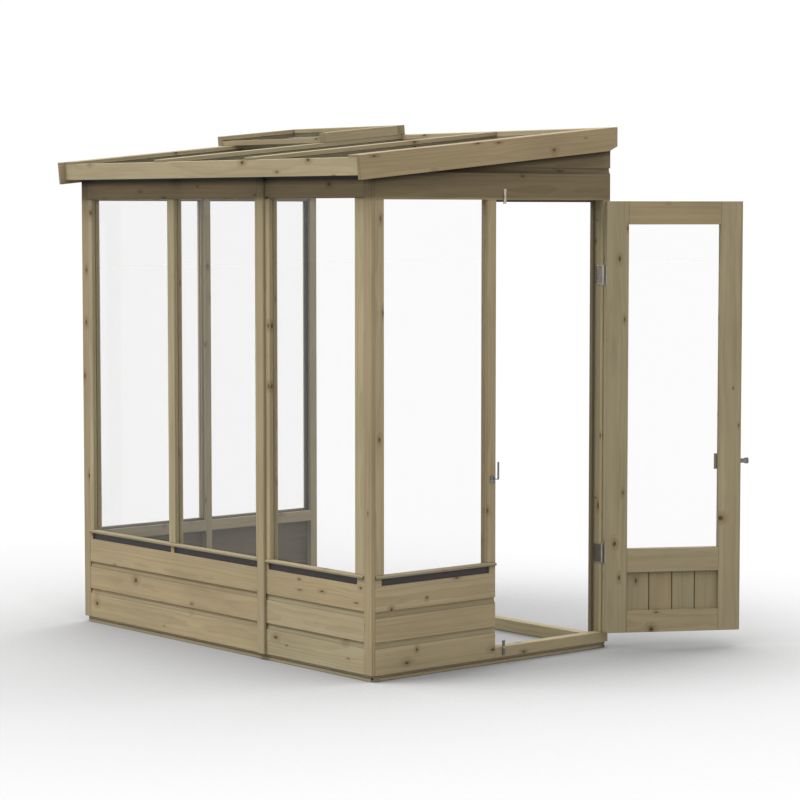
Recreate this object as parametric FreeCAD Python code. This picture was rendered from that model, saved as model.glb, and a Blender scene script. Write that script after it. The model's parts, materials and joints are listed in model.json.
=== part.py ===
"""Lean-to greenhouse in pressure-treated softwood, for standing against a house wall.

Frame: millimetres, +Z up, +Y towards the house wall, +X towards the door end.
The origin lies on the ground, in the plane of the house wall, midway along the greenhouse.
Every piece is a solid of its own. Pieces that make one sub-part go into one file of parts/.
"""

import FreeCAD, Part
import math
import os

# Overall sizes
WIDTH = 1910.0  # along the house wall, over the end walls
DEPTH = 1222.0  # from the house wall to the front face
BASE_H = 24.0  # height of the ground bearers
EAVES_TOP = 1948.2  # top of the roof bars above the ground, at the front face
PITCH = 5.54  # roof pitch in degrees

# Build-up of a wall, from its outer face inwards
SKIN_T = 16.0  # cladding boards and casings
FRAMING_T = 29.0  # studs and rails
WALL_T = SKIN_T + FRAMING_T
BEARER_SETBACK = 8.0  # bearers stand this far behind the wall's face
BEARER_GROOVE = 4.0
BEARER_CHAMFER = 8.0  # on the two front corners

# Windows
LIP = 10.0  # casings overlap the framing's opening by this much
PANE_T = 3.0
PANE_GAP = 1.0
BEAD = 8.0
SIDE_SEAL_W = 17.0
ARRIS = 3.0  # small chamfer on casings and stiles
SILL_SEAT = 396.0  # top of the sill, where the casings stand
SILL_H = 13.0
SILL_NOSE = 8.0  # how far the sill stands out of the wall
SILL_SLOPE = 5.0  # fall of the sill's nose
STRIP_H = 27.0  # drip strip below each window
STRIP_SETBACK = 7.0
STRIP_OVERHANG = 14.0
HEADER_Z = 1785.0  # underside of the front header board
GABLE_Z = 1780.0  # underside of the boards over the end windows and the door
RAIL_H = 45.0

# Shiplap boards
FIRST_FACE = 122.0  # face of the lowest board
COVER = 114.0  # face of each board above it
GABLE_FACE = 125.0
LAP = 11.0
SCOOP_H = 24.0  # height of the concave scoop below a joint
SCOOP_D = 7.5
LAP_PLAY = 0.5

# Front wall, from left to right
WIDE_PANEL = 1205.0
LEFT_CASING = 31.0
LEFT_WINDOW = 542.0
MULLION = 50.0
JOINT_CASING = 48.0
RIGHT_CASING = 55.0
COVER_STRIP_W = 48.0
COVER_STRIP_T = 10.0
COVER_STRIP_SHIFT = 4.0  # the strip sits this far left of the joint

# End walls, from the front corner to the house wall
END_CASING = 45.0
DOOR_POST = 45.0
DOOR_OPENING = 570.0
BACK_JAMB = 37.0
LEFT_MID_CASING = 50.0
LEFT_BACK_CASING = 44.0
TOP_PLATE_H = 35.0
THRESHOLD_TOP = 64.0
STOP_W = 40.0
STOP_T = 16.0
LOCK_STOP_LAP = 24.0  # each door stop reaches this far into the opening
HINGE_STOP_LAP = 13.0
HEAD_STOP_LAP = 8.0

# Back, towards the house wall
BACK_BEAM_H = 49.0
BACK_RAIL_T = 45.0
FIXING_R = 4.0  # holes for the screws that hold the greenhouse to the house wall
FIXING_DEPTH = 34.0  # from the wall's outer face to the middle of each hole
FIXING_LOW = 600.0
FIXING_HIGH = 1700.0

# Roof, with heights measured down from the top of the bars
BAR_T = 17.0
SHEET_T = 4.0
RAFTER_H = 45.0
RAFTER_W = 45.0
BAR_W = 70.0
BAR_1_PLACE = 658.95  # middle of the first inner bar, measured from the left end
BAR_2_PAST_JOINT = 10.027  # middle of the second inner bar, right of the joint of the front panels
SIDE_BAR_LAP = 10.0  # side bars reach this far past the rafter
PACKER_T = 24.0
BARGE_T = 16.0
BARGE_H = 91.5
BARGE_NOSE = 83.0  # barge boards stand this far in front of the wall
BARGE_CLIP = 15.0
FASCIA_FACE = 65.0  # the fascia's face stands this far in front of the wall
FASCIA_T = 18.0
FASCIA_H = 66.0
FASCIA_RISE = 7.0  # the fascia's top above the sheets
SHEET_INSET = 10.0
SHEET_JOINT = 6.0  # gap between two sheets over a rafter

# Roof vent over the left bay
VENT_OVERHANG = 25.0  # past the left barge board
VENT_T = 42.0
VENT_MEMBER = 40.0
VENT_FRONT = 462.0  # front edge, measured from the house wall
VENT_BACK = 27.0  # back edge, measured from the house wall
VENT_RAIL_DROP = 21.0  # the front rail is lower than the stiles by this much
VENT_BAR_BEARING = 70.0  # the vent's right edge, measured from bar 1's left edge
CURB_FROM_VENT = 40.0  # the curb stands this far behind the vent's front edge
CURB_W = 45.0
SEAT_GAP = 0.3

# Door leaf
DOOR_OPEN = 149.5  # degrees from closed, as it stands here
DOOR_T = 42.0
DOOR_GAP_HINGE = 4.0
DOOR_GAP_LOCK = 13.0
DOOR_GAP_SILL = 4.0
DOOR_GAP_HEAD = 4.0
STILE_W = 89.0
DOOR_TOP_RAIL = 91.0
DOOR_MID_RAIL = 94.0
DOOR_BOTTOM_RAIL = 87.0
DOOR_GLASS_LOW = 402.0
DOOR_GLASS_DEPTH = 21.0  # from the outer face to the back of the pane
GROOVE = 8.0
BOARD_T = 12.0
BOARD_DEPTH = 15.0  # from the door's outer face to the boards
BOARD_COUNT = 4
BOARD_VEE = 2.5
TONGUE_W = 5.0
TONGUE_T = 4.0
TONGUE_PLAY = 0.3

# Butt hinges
DOOR_HINGE_Z = (381.0, 1487.0)
DOOR_LEAF_L = 77.0
DOOR_LEAF_W = 46.0
DOOR_BARREL_R = 4.3
VENT_HINGE_OFFSET = 250.0  # each side of the vent's middle
VENT_LEAF_L = 64.0
VENT_LEAF_W = 20.0
VENT_BARREL_R = 3.6
VENT_BARREL_PLAY = 0.1  # between a barrel and the wood
LEAF_T = 1.9
PIN_R = 2.0
PIN_PLAY = 0.05
KNUCKLES = 3
KNUCKLE_GAP = 0.3

# Latch on the door and its keep on the post
LATCH_Z = 742.0
LATCH_PIVOT = 83.0  # from the door's free edge
LATCH_REACH = 47.0  # past the door's free edge
LATCH_BAR_H = 18.0
LATCH_BAR_T = 5.0
LATCH_TIP_H = 24.0
LATCH_TIP_L = 16.0
LATCH_LIFT = 30.0  # degrees
PLATE_T = 3.0
PLATE_W = 30.0
PLATE_H = 62.0
RIVET_R = 3.0
GUIDE_FROM_EDGE = 22.5
GUIDE_W = 12.0
STRAP_T = 2.5
KNOB_R = 8.0
KNOB_L = 16.0
KNOB_FROM_EDGE = 6.0
KEEP_LOW = 716.0
KEEP_HIGH = 784.0
KEEP_PLATE_H = 26.0
KEEP_W = 26.0
PRONG_W = 8.0
KEEP_REACH = 25.0
KEEP_FROM_EDGE = 4.0  # from the edge of the door opening

# Turn buttons
BUTTON_L = 56.0
BUTTON_W = 15.0
BUTTON_WAIST = 9.0
BUTTON_T = 2.5
BUTTON_STANDOFF = 0.5
BUTTON_FROM_EDGE = 42.0  # from the edge of the door opening
HEAD_BUTTON_Z = 1793.0
THRESHOLD_BUTTON_Z = 61.0
SCREW_R = 2.5
SCREW_HEAD_R = 4.5
SCREW_HEAD_T = 2.4
SCREW_L = 25.0
SCREW_PLAY = 0.02

# Stay that holds the vent open
STAY_L = 262.0
STAY_W = 13.0
STAY_T = 3.0
STAY_PIVOT = 70.0  # behind the inner edge of the vent's front rail
STAY_HOLES = 3
STAY_HOLE_R = 3.2
STAY_HOLE_STEP = 55.0
STAY_CLEAR = 6.0  # the arm hangs this far clear of bar 1's edge
PEG_R = 2.5
PEG_DOWN = 45.0  # below the top of the bars
PEG_PLATE = 24.0
PEG_BEHIND_CURB = 40.0

# Values that follow from the sizes above
HALF = WIDTH / 2
SLOPE = math.tan(math.radians(PITCH))
C_SHEET = -BAR_T
C_RAFTER = -BAR_T - SHEET_T
C_WALL = C_RAFTER - RAFTER_H
C_PLATE = C_WALL - TOP_PLATE_H
STRIP_TOP = SILL_SEAT - SILL_H
STRIP_LOW = STRIP_TOP - STRIP_H
JOINT_1 = BASE_H + FIRST_FACE
JOINT_2 = JOINT_1 + COVER
GABLE_JOINT = GABLE_Z + GABLE_FACE
TALL = EAVES_TOP + 600.0
FAR = 3.0 * (WIDTH + DEPTH)
X_AXIS = FreeCAD.Vector(1, 0, 0)
Y_AXIS = FreeCAD.Vector(0, 1, 0)
Z_AXIS = FreeCAD.Vector(0, 0, 1)
SUB_PARTS = {}

# Layout of the front wall, measured from its left end
F_INNER_L = WALL_T
F_JOINT = WALL_T + WIDE_PANEL
F_INNER_R = WIDTH - WALL_T
W1 = (F_INNER_L + LEFT_CASING, F_INNER_L + LEFT_CASING + LEFT_WINDOW)
W2 = (W1[1] + MULLION, F_JOINT - JOINT_CASING)
W3 = (F_JOINT + JOINT_CASING, F_INNER_R - RIGHT_CASING)
STRIP_X = F_JOINT - COVER_STRIP_SHIFT

# Layout of the end walls, measured from the front corner
END_START = SKIN_T
R_WINDOW = (END_START + END_CASING, DEPTH - BACK_JAMB - DOOR_OPENING - DOOR_POST)
DOORWAY = (R_WINDOW[1] + DOOR_POST, DEPTH - BACK_JAMB)
L_GLASS = DEPTH - END_START - END_CASING - LEFT_MID_CASING - LEFT_BACK_CASING
L_WINDOW_A = (R_WINDOW[0], R_WINDOW[0] + L_GLASS / 2)
L_WINDOW_B = (L_WINDOW_A[1] + LEFT_MID_CASING, DEPTH - LEFT_BACK_CASING)

# Door leaf, closed, in the right wall's layout
LEAF = (DOORWAY[0] + DOOR_GAP_LOCK, DOORWAY[1] - DOOR_GAP_HINGE)
LEAF_Z = (THRESHOLD_TOP + DOOR_GAP_SILL, GABLE_Z - DOOR_GAP_HEAD)
LEAF_CLEAR = (LEAF[0] + STILE_W, LEAF[1] - STILE_W)
DOOR_GLASS_Z = (DOOR_GLASS_LOW, LEAF_Z[1] - DOOR_TOP_RAIL)
DOOR_PANEL_Z = (LEAF_Z[0] + DOOR_BOTTOM_RAIL, DOOR_GLASS_LOW - DOOR_MID_RAIL)
HINGE_U = DOORWAY[1] - DOOR_GAP_HINGE / 2
HINGE_W = -DOOR_BARREL_R - 0.2

# Roof, along X
RAFTER_L = (-HALF, -HALF + RAFTER_W)
RAFTER_R = (HALF - RAFTER_W, HALF)
BAR_1_X = BAR_1_PLACE - HALF
BAR_2_X = F_JOINT + BAR_2_PAST_JOINT - HALF


def box(u0, u1, w0, w1, z0, z1):
    """A block between two corners."""
    return Part.makeBox(u1 - u0, w1 - w0, z1 - z0, FreeCAD.Vector(u0, w0, z0))


def prism(points, direction):
    """A straight extrusion of a flat outline given by its corners."""
    corners = [FreeCAD.Vector(*p) for p in points]
    return Part.Face(Part.makePolygon(corners + corners[:1])).extrude(direction)


def along_z(outline, z0, z1):
    """Extrude an outline of (u, w) corners upwards."""
    return prism([(u, w, z0) for u, w in outline], Z_AXIS * (z1 - z0))


def along_u(outline, u0, u1):
    """Extrude an outline of (w, z) corners along the wall."""
    return prism([(u0, w, z) for w, z in outline], X_AXIS * (u1 - u0))


def rod(r, start, direction, length):
    """A round rod or hole."""
    return Part.makeCylinder(r, length, FreeCAD.Vector(*start), direction)


def roof_z(y, c=0.0):
    """Height of the roof plane above the ground, c above the top of the bars."""
    return EAVES_TOP + c + (y + DEPTH) * SLOPE


def sloped(x0, x1, y0, y1, c0, c1):
    """A block that follows the roof's pitch, with plumb ends."""
    outline = [(x0, y0, roof_z(y0, c0)), (x0, y1, roof_z(y1, c0))]
    outline += [(x0, y1, roof_z(y1, c1)), (x0, y0, roof_z(y0, c1))]
    return prism(outline, X_AXIS * (x1 - x0))


def below_roof(shape, c):
    """Trim a placed piece to the plane c above the top of the bars."""
    outline = [(-FAR, -FAR, roof_z(-FAR, c)), (-FAR, FAR, roof_z(FAR, c))]
    outline += [(-FAR, FAR, roof_z(FAR, c) + FAR), (-FAR, -FAR, roof_z(FAR, c) + FAR)]
    return shape.cut(prism(outline, X_AXIS * (2 * FAR)))


def on_front(shape):
    """Place a piece drawn as (along, inwards, up) in the front wall."""
    placed = shape.copy()
    placed.translate(FreeCAD.Vector(-HALF, -DEPTH, 0))
    return placed


def on_right(shape):
    """Place a piece drawn as (from the front corner, inwards, up) in the door end wall."""
    placed = shape.copy()
    placed.rotate(FreeCAD.Vector(0, 0, 0), Z_AXIS, 90)
    placed.translate(FreeCAD.Vector(HALF, -DEPTH, 0))
    return placed


def on_left(shape):
    """Place a piece in the left end wall, the mirror image of the right one."""
    return on_right(shape).mirror(FreeCAD.Vector(0, 0, 0), X_AXIS)


def save(node, shapes):
    """Add pieces to a sub-part, each as a solid of its own."""
    solids = [solid for shape in shapes for solid in shape.Solids]
    SUB_PARTS.setdefault(node, []).extend(solids)


def write_files():
    """Write each sub-part as one STEP file."""
    os.makedirs("parts", exist_ok=True)
    for node, solids in SUB_PARTS.items():
        bad = [solid for solid in solids if not solid.isValid() or solid.Volume <= 0]
        shape = solids[0] if len(solids) == 1 else Part.makeCompound(solids)
        shape.exportStep(f"parts/{node}.step")
        print(f"{node}: {len(solids)} solids, {shape.Volume / 1000:.1f} cm3, {len(bad)} bad")
    print(f"{len(SUB_PARTS)} sub-parts")


def board(u0, u1, z0, z1, lapped, scooped):
    """A shiplap board: a concave scoop under the joint above, a rebate over the one below."""
    top = z1 + LAP - LAP_PLAY if scooped else z1
    foot = z0 + LAP if lapped else z0
    lip = SCOOP_D - LAP_PLAY
    if scooped:
        radius = (SCOOP_D**2 + SCOOP_H**2) / (2 * SCOOP_D)
        half = math.asin(SCOOP_H / radius) / 2
        mid = (SCOOP_D - radius + radius * math.cos(half), z1 - radius * math.sin(half))
        path = [(SCOOP_D, z1), (SCOOP_D, top)]
        start = (0.0, z1 - SCOOP_H)
    else:
        path = [(0.0, top)]
        start = (0.0, top)
    path += [(SKIN_T, top), (SKIN_T, foot)]
    path += [(lip, foot), (lip, z0)] if lapped else []
    path += [(0.0, z0)]
    corners = [FreeCAD.Vector(u0, w, z) for w, z in path + [start]]
    edges = []
    if scooped:
        middle = FreeCAD.Vector(u0, *mid)
        edges.append(Part.Arc(corners[-1], middle, corners[0]).toShape())
    for a, b in zip(corners, corners[1:]):
        if a.distanceToPoint(b) > 1e-6:
            edges.append(Part.LineSegment(a, b).toShape())
    wire = Part.Wire(Part.__sortEdges__(edges))
    return Part.Face(wire).extrude(X_AXIS * (u1 - u0))


def lower_boards(u0, u1, windows):
    """Three boards below the sill, the top one notched for the drip strips."""
    boards = [board(u0, u1, BASE_H, JOINT_1, False, True)]
    boards.append(board(u0, u1, JOINT_1, JOINT_2, True, True))
    top = board(u0, u1, JOINT_2, STRIP_TOP, True, False)
    for a, b in windows:
        notch = box(a - STRIP_OVERHANG, b + STRIP_OVERHANG, -1, SKIN_T + 1, STRIP_LOW, STRIP_TOP + 1)
        top = top.cut(notch)
    return boards + [top]


def drip_strip(window):
    """The dark strip set back in its notch under a window."""
    a, b = window
    return box(a - STRIP_OVERHANG, b + STRIP_OVERHANG, STRIP_SETBACK, SKIN_T, STRIP_LOW, STRIP_TOP)


def sill(u0, u1):
    """A sill with a sloped nose and a flat seat for the casings."""
    top = SILL_SEAT - SILL_SLOPE
    outline = [(SKIN_T, STRIP_TOP), (SKIN_T, SILL_SEAT), (0, SILL_SEAT)]
    outline += [(-SILL_NOSE, top), (-SILL_NOSE, STRIP_TOP)]
    return along_u(outline, u0, u1)


def casing(u0, u1, z0, z1, left_arris, right_arris):
    """An upright casing, chamfered on the edges beside glass."""
    outline = [(u0, SKIN_T), (u0, ARRIS if left_arris else 0)]
    outline += [(u0 + ARRIS, 0)] if left_arris else []
    outline += [(u1 - ARRIS, 0), (u1, ARRIS)] if right_arris else [(u1, 0)]
    outline += [(u1, SKIN_T)]
    return along_z(outline, z0, z1)


def header(u0, u1, z0, z1):
    """A board over windows, chamfered along its lower edge."""
    outline = [(SKIN_T, z0), (ARRIS, z0), (0, z0 + ARRIS), (0, z1), (SKIN_T, z1)]
    return along_u(outline, u0, u1)


def stud(u0, u1, z0, z1):
    """A framing member behind the skin."""
    return box(u0, u1, SKIN_T, WALL_T, z0, z1)


def pane(window, head):
    """A pane in the framing's opening, standing against the backs of the casings."""
    grow = LIP - PANE_GAP
    w = (SKIN_T, SKIN_T + PANE_T)
    return box(window[0] - grow, window[1] + grow, *w, SILL_SEAT - grow, head + grow)


def beads(window, head, back=True):
    """Timber beads at the head and sides of a pane, inside; the one at its back edge can be left off."""
    u0, u1 = window[0] - LIP, window[1] + LIP
    z0, z1 = SILL_SEAT - LIP, head + LIP
    w0, w1 = SKIN_T + PANE_T, SKIN_T + PANE_T + BEAD
    stiles = [box(u0, u0 + BEAD, w0, w1, z0 + BEAD, z1 - BEAD)]
    if back:
        stiles.append(box(u1 - BEAD, u1, w0, w1, z0 + BEAD, z1 - BEAD))
    return stiles + [box(u0, u1, w0, w1, z1 - BEAD, z1)]


def seal(window):
    """The dark seal along the foot of a pane, inside."""
    low = SILL_SEAT - LIP
    w0 = SKIN_T + PANE_T
    outline = [(w0, low), (w0 + BEAD, low), (w0 + BEAD, low + BEAD / 2)]
    outline += [(w0 + BEAD / 2, low + BEAD), (w0, low + BEAD)]
    return along_u(outline, window[0] - LIP, window[1] + LIP)


def side_seal(window, head):
    """The wider dark seal down the back edge of a pane, inside."""
    u1 = window[1] + LIP
    w0 = SKIN_T + PANE_T
    return box(u1 - SIDE_SEAL_W, u1, w0, w0 + BEAD, SILL_SEAT - LIP + BEAD, head + LIP - BEAD)


def rails_between(u0, u1, head):
    """Bottom, sill and head rails between two studs."""
    low = SILL_SEAT - LIP
    high = head + LIP
    found = [stud(u0, u1, BASE_H, BASE_H + RAIL_H), stud(u0, u1, low - RAIL_H, low)]
    return found + [stud(u0, u1, high, high + RAIL_H)]


def bearer(u0, u1, w0, w1):
    """A low bearer with a groove along the middle of its outer face."""
    mid, half = BASE_H / 2, BEARER_GROOVE / 2
    outline = [(w0, 0), (w1, 0), (w1, BASE_H), (w0, BASE_H), (w0, mid + half)]
    outline += [(w0 + BEARER_GROOVE, mid), (w0, mid - half)]
    return along_u(outline, u0, u1)


def base():
    """Bearers on the ground and the beam along the house wall."""
    u0, u1 = BEARER_SETBACK, WIDTH - BEARER_SETBACK
    w0, cut = BEARER_SETBACK, BEARER_CHAMFER
    outline = [(u0, WALL_T), (u0, w0 + cut), (u0 + cut, w0)]
    outline += [(u1 - cut, w0), (u1, w0 + cut), (u1, WALL_T)]
    front = bearer(u0, u1, w0, WALL_T).common(along_z(outline, 0, BASE_H))
    side = bearer(WALL_T, DEPTH - BEARER_SETBACK, w0, WALL_T)
    save("base_bearers", [on_front(front), on_right(side), on_left(side)])
    save("back_bottom_beam", [box(-HALF + WALL_T, HALF - WALL_T, -BACK_RAIL_T, 0, 0, BACK_BEAM_H)])


def front_panel(name, u0, u1, windows, stud_left, stud_right):
    """One panel of the front wall: framing, casings, boards, sill, panes and beads."""
    ends = [stud(u0, u0 + stud_left, BASE_H, TALL), stud(u1 - stud_right, u1, BASE_H, TALL)]
    head = HEADER_Z
    low, high = SILL_SEAT - LIP, head + LIP
    inner = (u0 + stud_left, u1 - stud_right)
    rails = [stud(*inner, BASE_H, BASE_H + RAIL_H), stud(*inner, low - RAIL_H, low)]
    rails.append(stud(*inner, high, TALL))
    casings = [casing(u0, windows[0][0], SILL_SEAT, head, False, True)]
    for a, b in zip(windows, windows[1:]):
        casings.append(casing(a[1], b[0], SILL_SEAT, head, True, True))
        middle = (a[1] + LIP, b[0] - LIP)
        rails += [stud(*middle, BASE_H + RAIL_H, low - RAIL_H), stud(*middle, low, high)]
    casings.append(casing(windows[-1][1], u1, SILL_SEAT, head, True, False))
    nose = box(STRIP_X - COVER_STRIP_W / 2, STRIP_X + COVER_STRIP_W / 2, -2 * SILL_NOSE, 0, 0, TALL)
    top = header(u0, u1, head, TALL)
    trim = [below_roof(on_front(piece), C_WALL) for piece in ends + rails]
    save(f"{name}_framing", trim)
    save(f"{name}_casings", [on_front(piece) for piece in casings] + [below_roof(on_front(top), C_WALL)])
    save(f"{name}_cladding", [on_front(piece) for piece in lower_boards(u0, u1, windows)])
    return sill(u0, u1).cut(nose)


def front_wall():
    """Two panels side by side, the strips over their joints, and the glass."""
    left, joint, right = LEFT_CASING - LIP, JOINT_CASING - LIP, RIGHT_CASING - LIP
    wide = front_panel("front_wide_panel", F_INNER_L, F_JOINT, [W1, W2], left, joint)
    narrow = front_panel("front_narrow_panel", F_JOINT, F_INNER_R, [W3], joint, right)
    save("window_sills", [on_front(wide), on_front(narrow)])
    save("drip_strips", [on_front(drip_strip(w)) for w in (W1, W2, W3)])
    for name, window in (("left", W1), ("middle", W2), ("right", W3)):
        save(f"front_pane_{name}", [on_front(pane(window, HEADER_Z))])
    save("glazing_beads", [on_front(bead) for w in (W1, W2, W3) for bead in beads(w, HEADER_Z)])
    save("window_seals", [on_front(seal(w)) for w in (W1, W2, W3)])
    half = COVER_STRIP_W / 2
    outline = [(STRIP_X - half, 0), (STRIP_X - half, ARRIS - COVER_STRIP_T)]
    outline += [(STRIP_X - half + ARRIS, -COVER_STRIP_T), (STRIP_X + half - ARRIS, -COVER_STRIP_T)]
    outline += [(STRIP_X + half, ARRIS - COVER_STRIP_T), (STRIP_X + half, 0)]
    joint = along_z(outline, BASE_H, TALL)
    save("front_joint_strip", [below_roof(on_front(joint), C_WALL)])
    corner = along_z([(0, 0), (WALL_T, 0), (WALL_T, SKIN_T), (0, SKIN_T)], BASE_H, TALL)
    corners = [corner, corner.translated(FreeCAD.Vector(WIDTH - WALL_T, 0, 0))]
    save("corner_strips", [below_roof(on_front(piece), C_WALL) for piece in corners])


def end_plate(place):
    """The sloped plate on top of an end wall's studs."""
    plate = stud(END_START, DEPTH, 0, TALL)
    placed = below_roof(place(plate), C_WALL)
    return placed.cut(below_roof(place(stud(0, DEPTH, -1, TALL)), C_PLATE))


def fixing_holes(post):
    """Drill a back post for the screws into the house wall."""
    for z in (FIXING_LOW, FIXING_HIGH):
        hole = rod(FIXING_R, (DEPTH - 2 * BACK_JAMB, FIXING_DEPTH, z), X_AXIS, 3 * BACK_JAMB)
        post = post.cut(hole)
    return post


def button_hole(z):
    """The hole for a turn button's screw, placed in the right wall."""
    start = (DOORWAY[0] + BUTTON_FROM_EDGE, -1, z)
    return on_right(rod(SCREW_R + SCREW_PLAY, start, Y_AXIS, SCREW_L))


def gable_boards(place, u0, u1):
    """Two boards over the openings of an end wall, the upper one cut to the pitch."""
    low = board(u0, u1, GABLE_Z, GABLE_JOINT, False, True)
    high = board(u0, u1, GABLE_JOINT, TALL, True, False)
    return [below_roof(place(piece), C_WALL) for piece in (low, high)]


def right_wall():
    """The end wall with a window and the doorway."""
    corner = (END_START, END_START + END_CASING - LIP)
    post = (R_WINDOW[1] + LIP, DOORWAY[0])
    jamb = (DOORWAY[1], DEPTH)
    uprights = [stud(*corner, BASE_H, TALL), stud(*post, BASE_H, TALL)]
    uprights.append(fixing_holes(stud(*jamb, THRESHOLD_TOP, TALL)))
    rails = rails_between(corner[1], post[0], GABLE_Z)
    rails.append(stud(*DOORWAY, GABLE_Z, GABLE_Z + RAIL_H))
    framing = [below_roof(on_right(piece), C_PLATE) for piece in uprights + rails]
    framing[-1] = framing[-1].cut(button_hole(HEAD_BUTTON_Z))
    save("right_wall_framing", framing + [end_plate(on_right)])
    casings = [casing(END_START, R_WINDOW[0], SILL_SEAT, GABLE_Z, False, True)]
    casings.append(casing(R_WINDOW[1], DOORWAY[0], SILL_SEAT, GABLE_Z, True, False))
    casings.append(casing(*jamb, THRESHOLD_TOP, GABLE_Z, False, False))
    save("right_wall_casings", [on_right(piece) for piece in casings])
    boards = lower_boards(END_START, DOORWAY[0], [R_WINDOW])
    save("right_wall_cladding", [on_right(piece) for piece in boards])
    low, high = gable_boards(on_right, END_START, DEPTH)
    save("right_gable_boards", [low.cut(button_hole(HEAD_BUTTON_Z)), high])
    save("window_sills", [on_right(sill(END_START, DOORWAY[0]))])
    save("drip_strips", [on_right(drip_strip(R_WINDOW))])
    save("right_wall_pane", [on_right(pane(R_WINDOW, GABLE_Z))])
    threshold = on_right(box(DOORWAY[0], DEPTH, 0, WALL_T, BASE_H, THRESHOLD_TOP))
    save("door_threshold", [threshold.cut(button_hole(THRESHOLD_BUTTON_Z))])
    w = (WALL_T, WALL_T + STOP_T)
    low = DOORWAY[0] + LOCK_STOP_LAP
    high = DOORWAY[1] - HINGE_STOP_LAP
    top = GABLE_Z - HEAD_STOP_LAP
    stops = [box(low - STOP_W, low, *w, BASE_H, top + STOP_W)]
    stops.append(box(high, high + STOP_W, *w, BACK_BEAM_H, top + STOP_W))
    stops.append(box(low, high, *w, top, top + STOP_W))
    save("door_stops", [on_right(piece) for piece in stops])


def left_wall():
    """The end wall with two windows."""
    corner = (END_START, END_START + END_CASING - LIP)
    middle = (L_WINDOW_A[1] + LIP, L_WINDOW_B[0] - LIP)
    back = (L_WINDOW_B[1] + LIP, DEPTH)
    uprights = [stud(*corner, BASE_H, TALL), stud(*middle, BASE_H, TALL)]
    uprights.append(fixing_holes(stud(*back, BASE_H, TALL)))
    rails = rails_between(corner[1], middle[0], GABLE_Z) + rails_between(middle[1], back[0], GABLE_Z)
    framing = [below_roof(on_left(piece), C_PLATE) for piece in uprights + rails]
    save("left_wall_framing", framing + [end_plate(on_left)])
    windows = (L_WINDOW_A, L_WINDOW_B)
    casings = [casing(END_START, L_WINDOW_A[0], SILL_SEAT, GABLE_Z, False, True)]
    casings.append(casing(L_WINDOW_A[1], L_WINDOW_B[0], SILL_SEAT, GABLE_Z, True, True))
    casings.append(casing(L_WINDOW_B[1], DEPTH, SILL_SEAT, GABLE_Z, True, False))
    save("left_wall_casings", [on_left(piece) for piece in casings])
    save("left_wall_cladding", [on_left(piece) for piece in lower_boards(END_START, DEPTH, windows)])
    save("left_gable_boards", gable_boards(on_left, END_START, DEPTH))
    save("window_sills", [on_left(sill(END_START, DEPTH))])
    save("drip_strips", [on_left(drip_strip(w)) for w in windows])
    save("left_wall_panes", [on_left(pane(w, GABLE_Z)) for w in windows])
    sides = [on_left(bead) for bead in beads(L_WINDOW_A, GABLE_Z) + beads(L_WINDOW_B, GABLE_Z, False)]
    sides += [on_right(bead) for bead in beads(R_WINDOW, GABLE_Z)]
    seals = [on_left(seal(w)) for w in windows] + [on_left(side_seal(L_WINDOW_B, GABLE_Z))]
    save("window_seals", seals + [on_right(seal(R_WINDOW))])
    save("glazing_beads", sides)


def roof():
    """Rafters, sheets, bars, fascia and barge boards."""
    front = -DEPTH - FASCIA_FACE
    behind_fascia = front + FASCIA_T
    back = -BACK_RAIL_T
    half_rafter = RAFTER_W / 2
    spans = [RAFTER_L, (BAR_1_X - half_rafter, BAR_1_X + half_rafter)]
    spans += [(BAR_2_X - half_rafter, BAR_2_X + half_rafter), RAFTER_R]
    save("rafters", [sloped(*x, behind_fascia, back, C_WALL, C_RAFTER) for x in spans])
    packer = sloped(HALF, HALF + PACKER_T, behind_fascia, 0, C_WALL, C_SHEET)
    mirrored = packer.mirror(FreeCAD.Vector(0, 0, 0), X_AXIS)
    save("barge_packers", [packer, mirrored])
    save("back_top_rail", [sloped(-HALF, HALF, back, 0, C_WALL, 0)])
    side = (HALF - RAFTER_W - SIDE_BAR_LAP, HALF + PACKER_T)
    half_bar = BAR_W / 2
    bars = [(-side[1], -side[0]), (BAR_1_X - half_bar, BAR_1_X + half_bar)]
    bars += [(BAR_2_X - half_bar, BAR_2_X + half_bar), side]
    over_fascia = sloped(-FAR, FAR, front - 1, behind_fascia, C_SHEET - 1, C_SHEET + FASCIA_RISE)
    tail = sloped(HALF, HALF + PACKER_T, back, 0, C_SHEET, 0)
    tails = [tail.mirror(FreeCAD.Vector(0, 0, 0), X_AXIS), None, None, tail]
    for x, end in zip(bars, tails):
        bar = sloped(*x, front, back, C_SHEET, 0).cut(over_fascia)
        save("roof_bars", [bar.fuse(end).removeSplitter() if end else bar])
    save("fascia", [fascia(front, behind_fascia)])
    barge = barge_board()
    save("barge_board_right", [barge])
    save("barge_board_left", [barge.mirror(FreeCAD.Vector(0, 0, 0), X_AXIS)])
    curb_front = -VENT_FRONT + CURB_FROM_VENT
    edge = SHEET_JOINT / 2
    start = behind_fascia + 1
    bays = [("left", -HALF + SHEET_INSET, BAR_1_X - edge, curb_front)]
    bays.append(("middle", BAR_1_X + edge, BAR_2_X - edge, back))
    bays.append(("right", BAR_2_X + edge, HALF - SHEET_INSET, back))
    for name, x0, x1, y1 in bays:
        save(f"roof_pane_{name}", [sloped(x0, x1, start, y1, C_RAFTER, C_SHEET)])
    body = (RAFTER_L[1], BAR_1_X - half_rafter)
    top = (-side[0], BAR_1_X - half_bar)
    curb = sloped(*body, curb_front, curb_front + CURB_W, C_WALL, C_SHEET)
    upper = sloped(*top, curb_front, curb_front + CURB_W, C_SHEET, 0)
    save("vent_curb", [curb.fuse(upper).removeSplitter()])


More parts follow.
